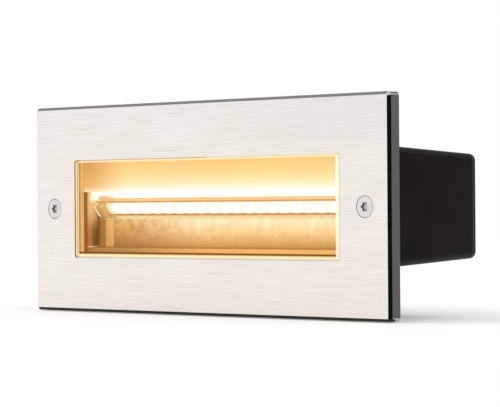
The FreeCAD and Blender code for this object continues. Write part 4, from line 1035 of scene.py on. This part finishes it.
def makeCard(name, corners, level):
    # a plain grey sheet that only shows in shiny surfaces, as a painted reflection
    material = bpy.data.materials.new(name)
    material.use_nodes = True
    tree = material.node_tree
    tree.nodes.remove(tree.nodes["Principled BSDF"])
    shade = addNode(tree, "ShaderNodeEmission")
    shade.inputs["Color"].default_value = (level, level, level * 0.97, 1)
    feed(tree.nodes["Material Output"].inputs["Surface"], shade.outputs[0])
    card = makeSheet(name, corners, material)
    card.visible_camera = False
    card.visible_diffuse = False
    card.visible_transmission = False
    card.visible_shadow = False


def makeFlag(name, direction, distance, width, height, level):
    # a card that stands off from the object and faces it
    way = Vector(direction).normalized()
    side = way.cross(Vector((0, 0, 1))).normalized()
    rise = side.cross(way).normalized()
    corners = [way * distance + side * (a * width / 2) + rise * (b * height / 2)
               for a, b in ((-1, -1), (1, -1), (1, 1), (-1, 1))]
    makeCard(name, corners, level)


def makeMat(name, start, direction, length, nearWidth, farWidth, height, level):
    # a widening card on the floor, from beside the object outwards
    way = Vector(direction).normalized()
    side = Vector((way.y, -way.x, 0))
    corners = [Vector((start[0], start[1], height)) + way * along + side * across
               for along, across in ((0, -nearWidth / 2), (length, -farWidth / 2),
                                     (length, farWidth / 2), (0, nearWidth / 2))]
    makeCard(name, corners, level)


def makeSky(level):
    world = bpy.data.worlds.new("studioSky")
    bpy.context.scene.world = world
    world.use_nodes = True
    sky = world.node_tree.nodes["Background"]
    sky.inputs["Color"].default_value = (1, 1, 1, 1)
    feed(sky.inputs["Strength"], seenDirectly(world.node_tree) * (1.0 - level) + level)


def makeLamp(watts, size, place):
    data = bpy.data.lights.new("softLamp", "AREA")
    data.shape = "SQUARE"
    data.size = size
    data.energy = watts
    lamp = bpy.data.objects.new("softLamp", data)
    lamp.location = place
    lamp.rotation_mode = "QUATERNION"
    lamp.rotation_quaternion = Vector(place).to_track_quat("Z", "Y")
    lamp.visible_glossy = False
    bpy.context.scene.collection.objects.link(lamp)


def makeCamera():
    # the photograph's own angle: placed by yaw, pitch and roll in degrees, focal length from
    # 2485 px for a frame 500 px wide
    view = {"place": (0.81092, -0.79553, -0.00006), "yaw": 44.627, "pitch": 0.097, "roll": -0.391,
            "focalPixels": 2485.19, "frameWidth": 500}
    yaw, pitch, roll = (math.radians(view[key]) for key in ("yaw", "pitch", "roll"))
    forward = Vector((-math.sin(yaw) * math.cos(pitch), math.cos(yaw) * math.cos(pitch), math.sin(pitch)))
    level = Vector((math.cos(yaw), math.sin(yaw), 0))
    upright = level.cross(forward)
    right = math.cos(roll) * level + math.sin(roll) * upright
    up = -math.sin(roll) * level + math.cos(roll) * upright
    data = bpy.data.cameras.new("photoCamera")
    data.sensor_width = 36
    data.lens = view["focalPixels"] / view["frameWidth"] * data.sensor_width
    data.clip_start, data.clip_end = 0.02, 60
    camera = bpy.data.objects.new("photoCamera", data)
    turn = Matrix((right, up, -forward)).transposed().to_4x4()
    camera.matrix_world = Matrix.Translation(view["place"]) @ turn
    bpy.context.scene.collection.objects.link(camera)
    bpy.context.scene.camera = camera


floorLevel = cadBox[0].z - studio["floorDrop"]
matLevel = floorLevel + 0.0001
makeFloor(floorLevel, studio)
# the flags and mats are painted reflections: darker sheets that only the shiny surfaces see
makeFlag("flagRight", (0.73, -0.68, 0.0), 2.6, 1.5, 1.9, 0.009)
makeMat("matRight", (0.117, -0.004), (0.74, -0.67, 0.0), 2.5, 0.012, 0.7, matLevel, 0.009)
makeFlag("flagBack", (0.70, 0.71, 0.0), 2.6, 2.6, 2.2, 0.19)
makeMat("matBack", (0.117, 0.003), (0.70, 0.71, 0.0), 2.5, 0.012, 1.8, matLevel + 0.0001, 0.19)
makeMat("matUnder", (-0.118, -0.005), (1.0, 0.0, 0.0), 0.236, 0.007, 0.007, matLevel, 0.055)
makeFlag("flagTop", (-0.70, 0.0, 0.71), 2.6, 1.6, 1.6, 0.40)
makeFlag("flagHigh", (0.0, 0.71, 0.70), 2.6, 2.0, 1.5, 0.22)
makeSky(studio["skyLevel"])
makeLamp(*studio["lamp"])
makeCamera()
bpy.context.scene.view_settings.view_transform = "Standard"
print("studio done")
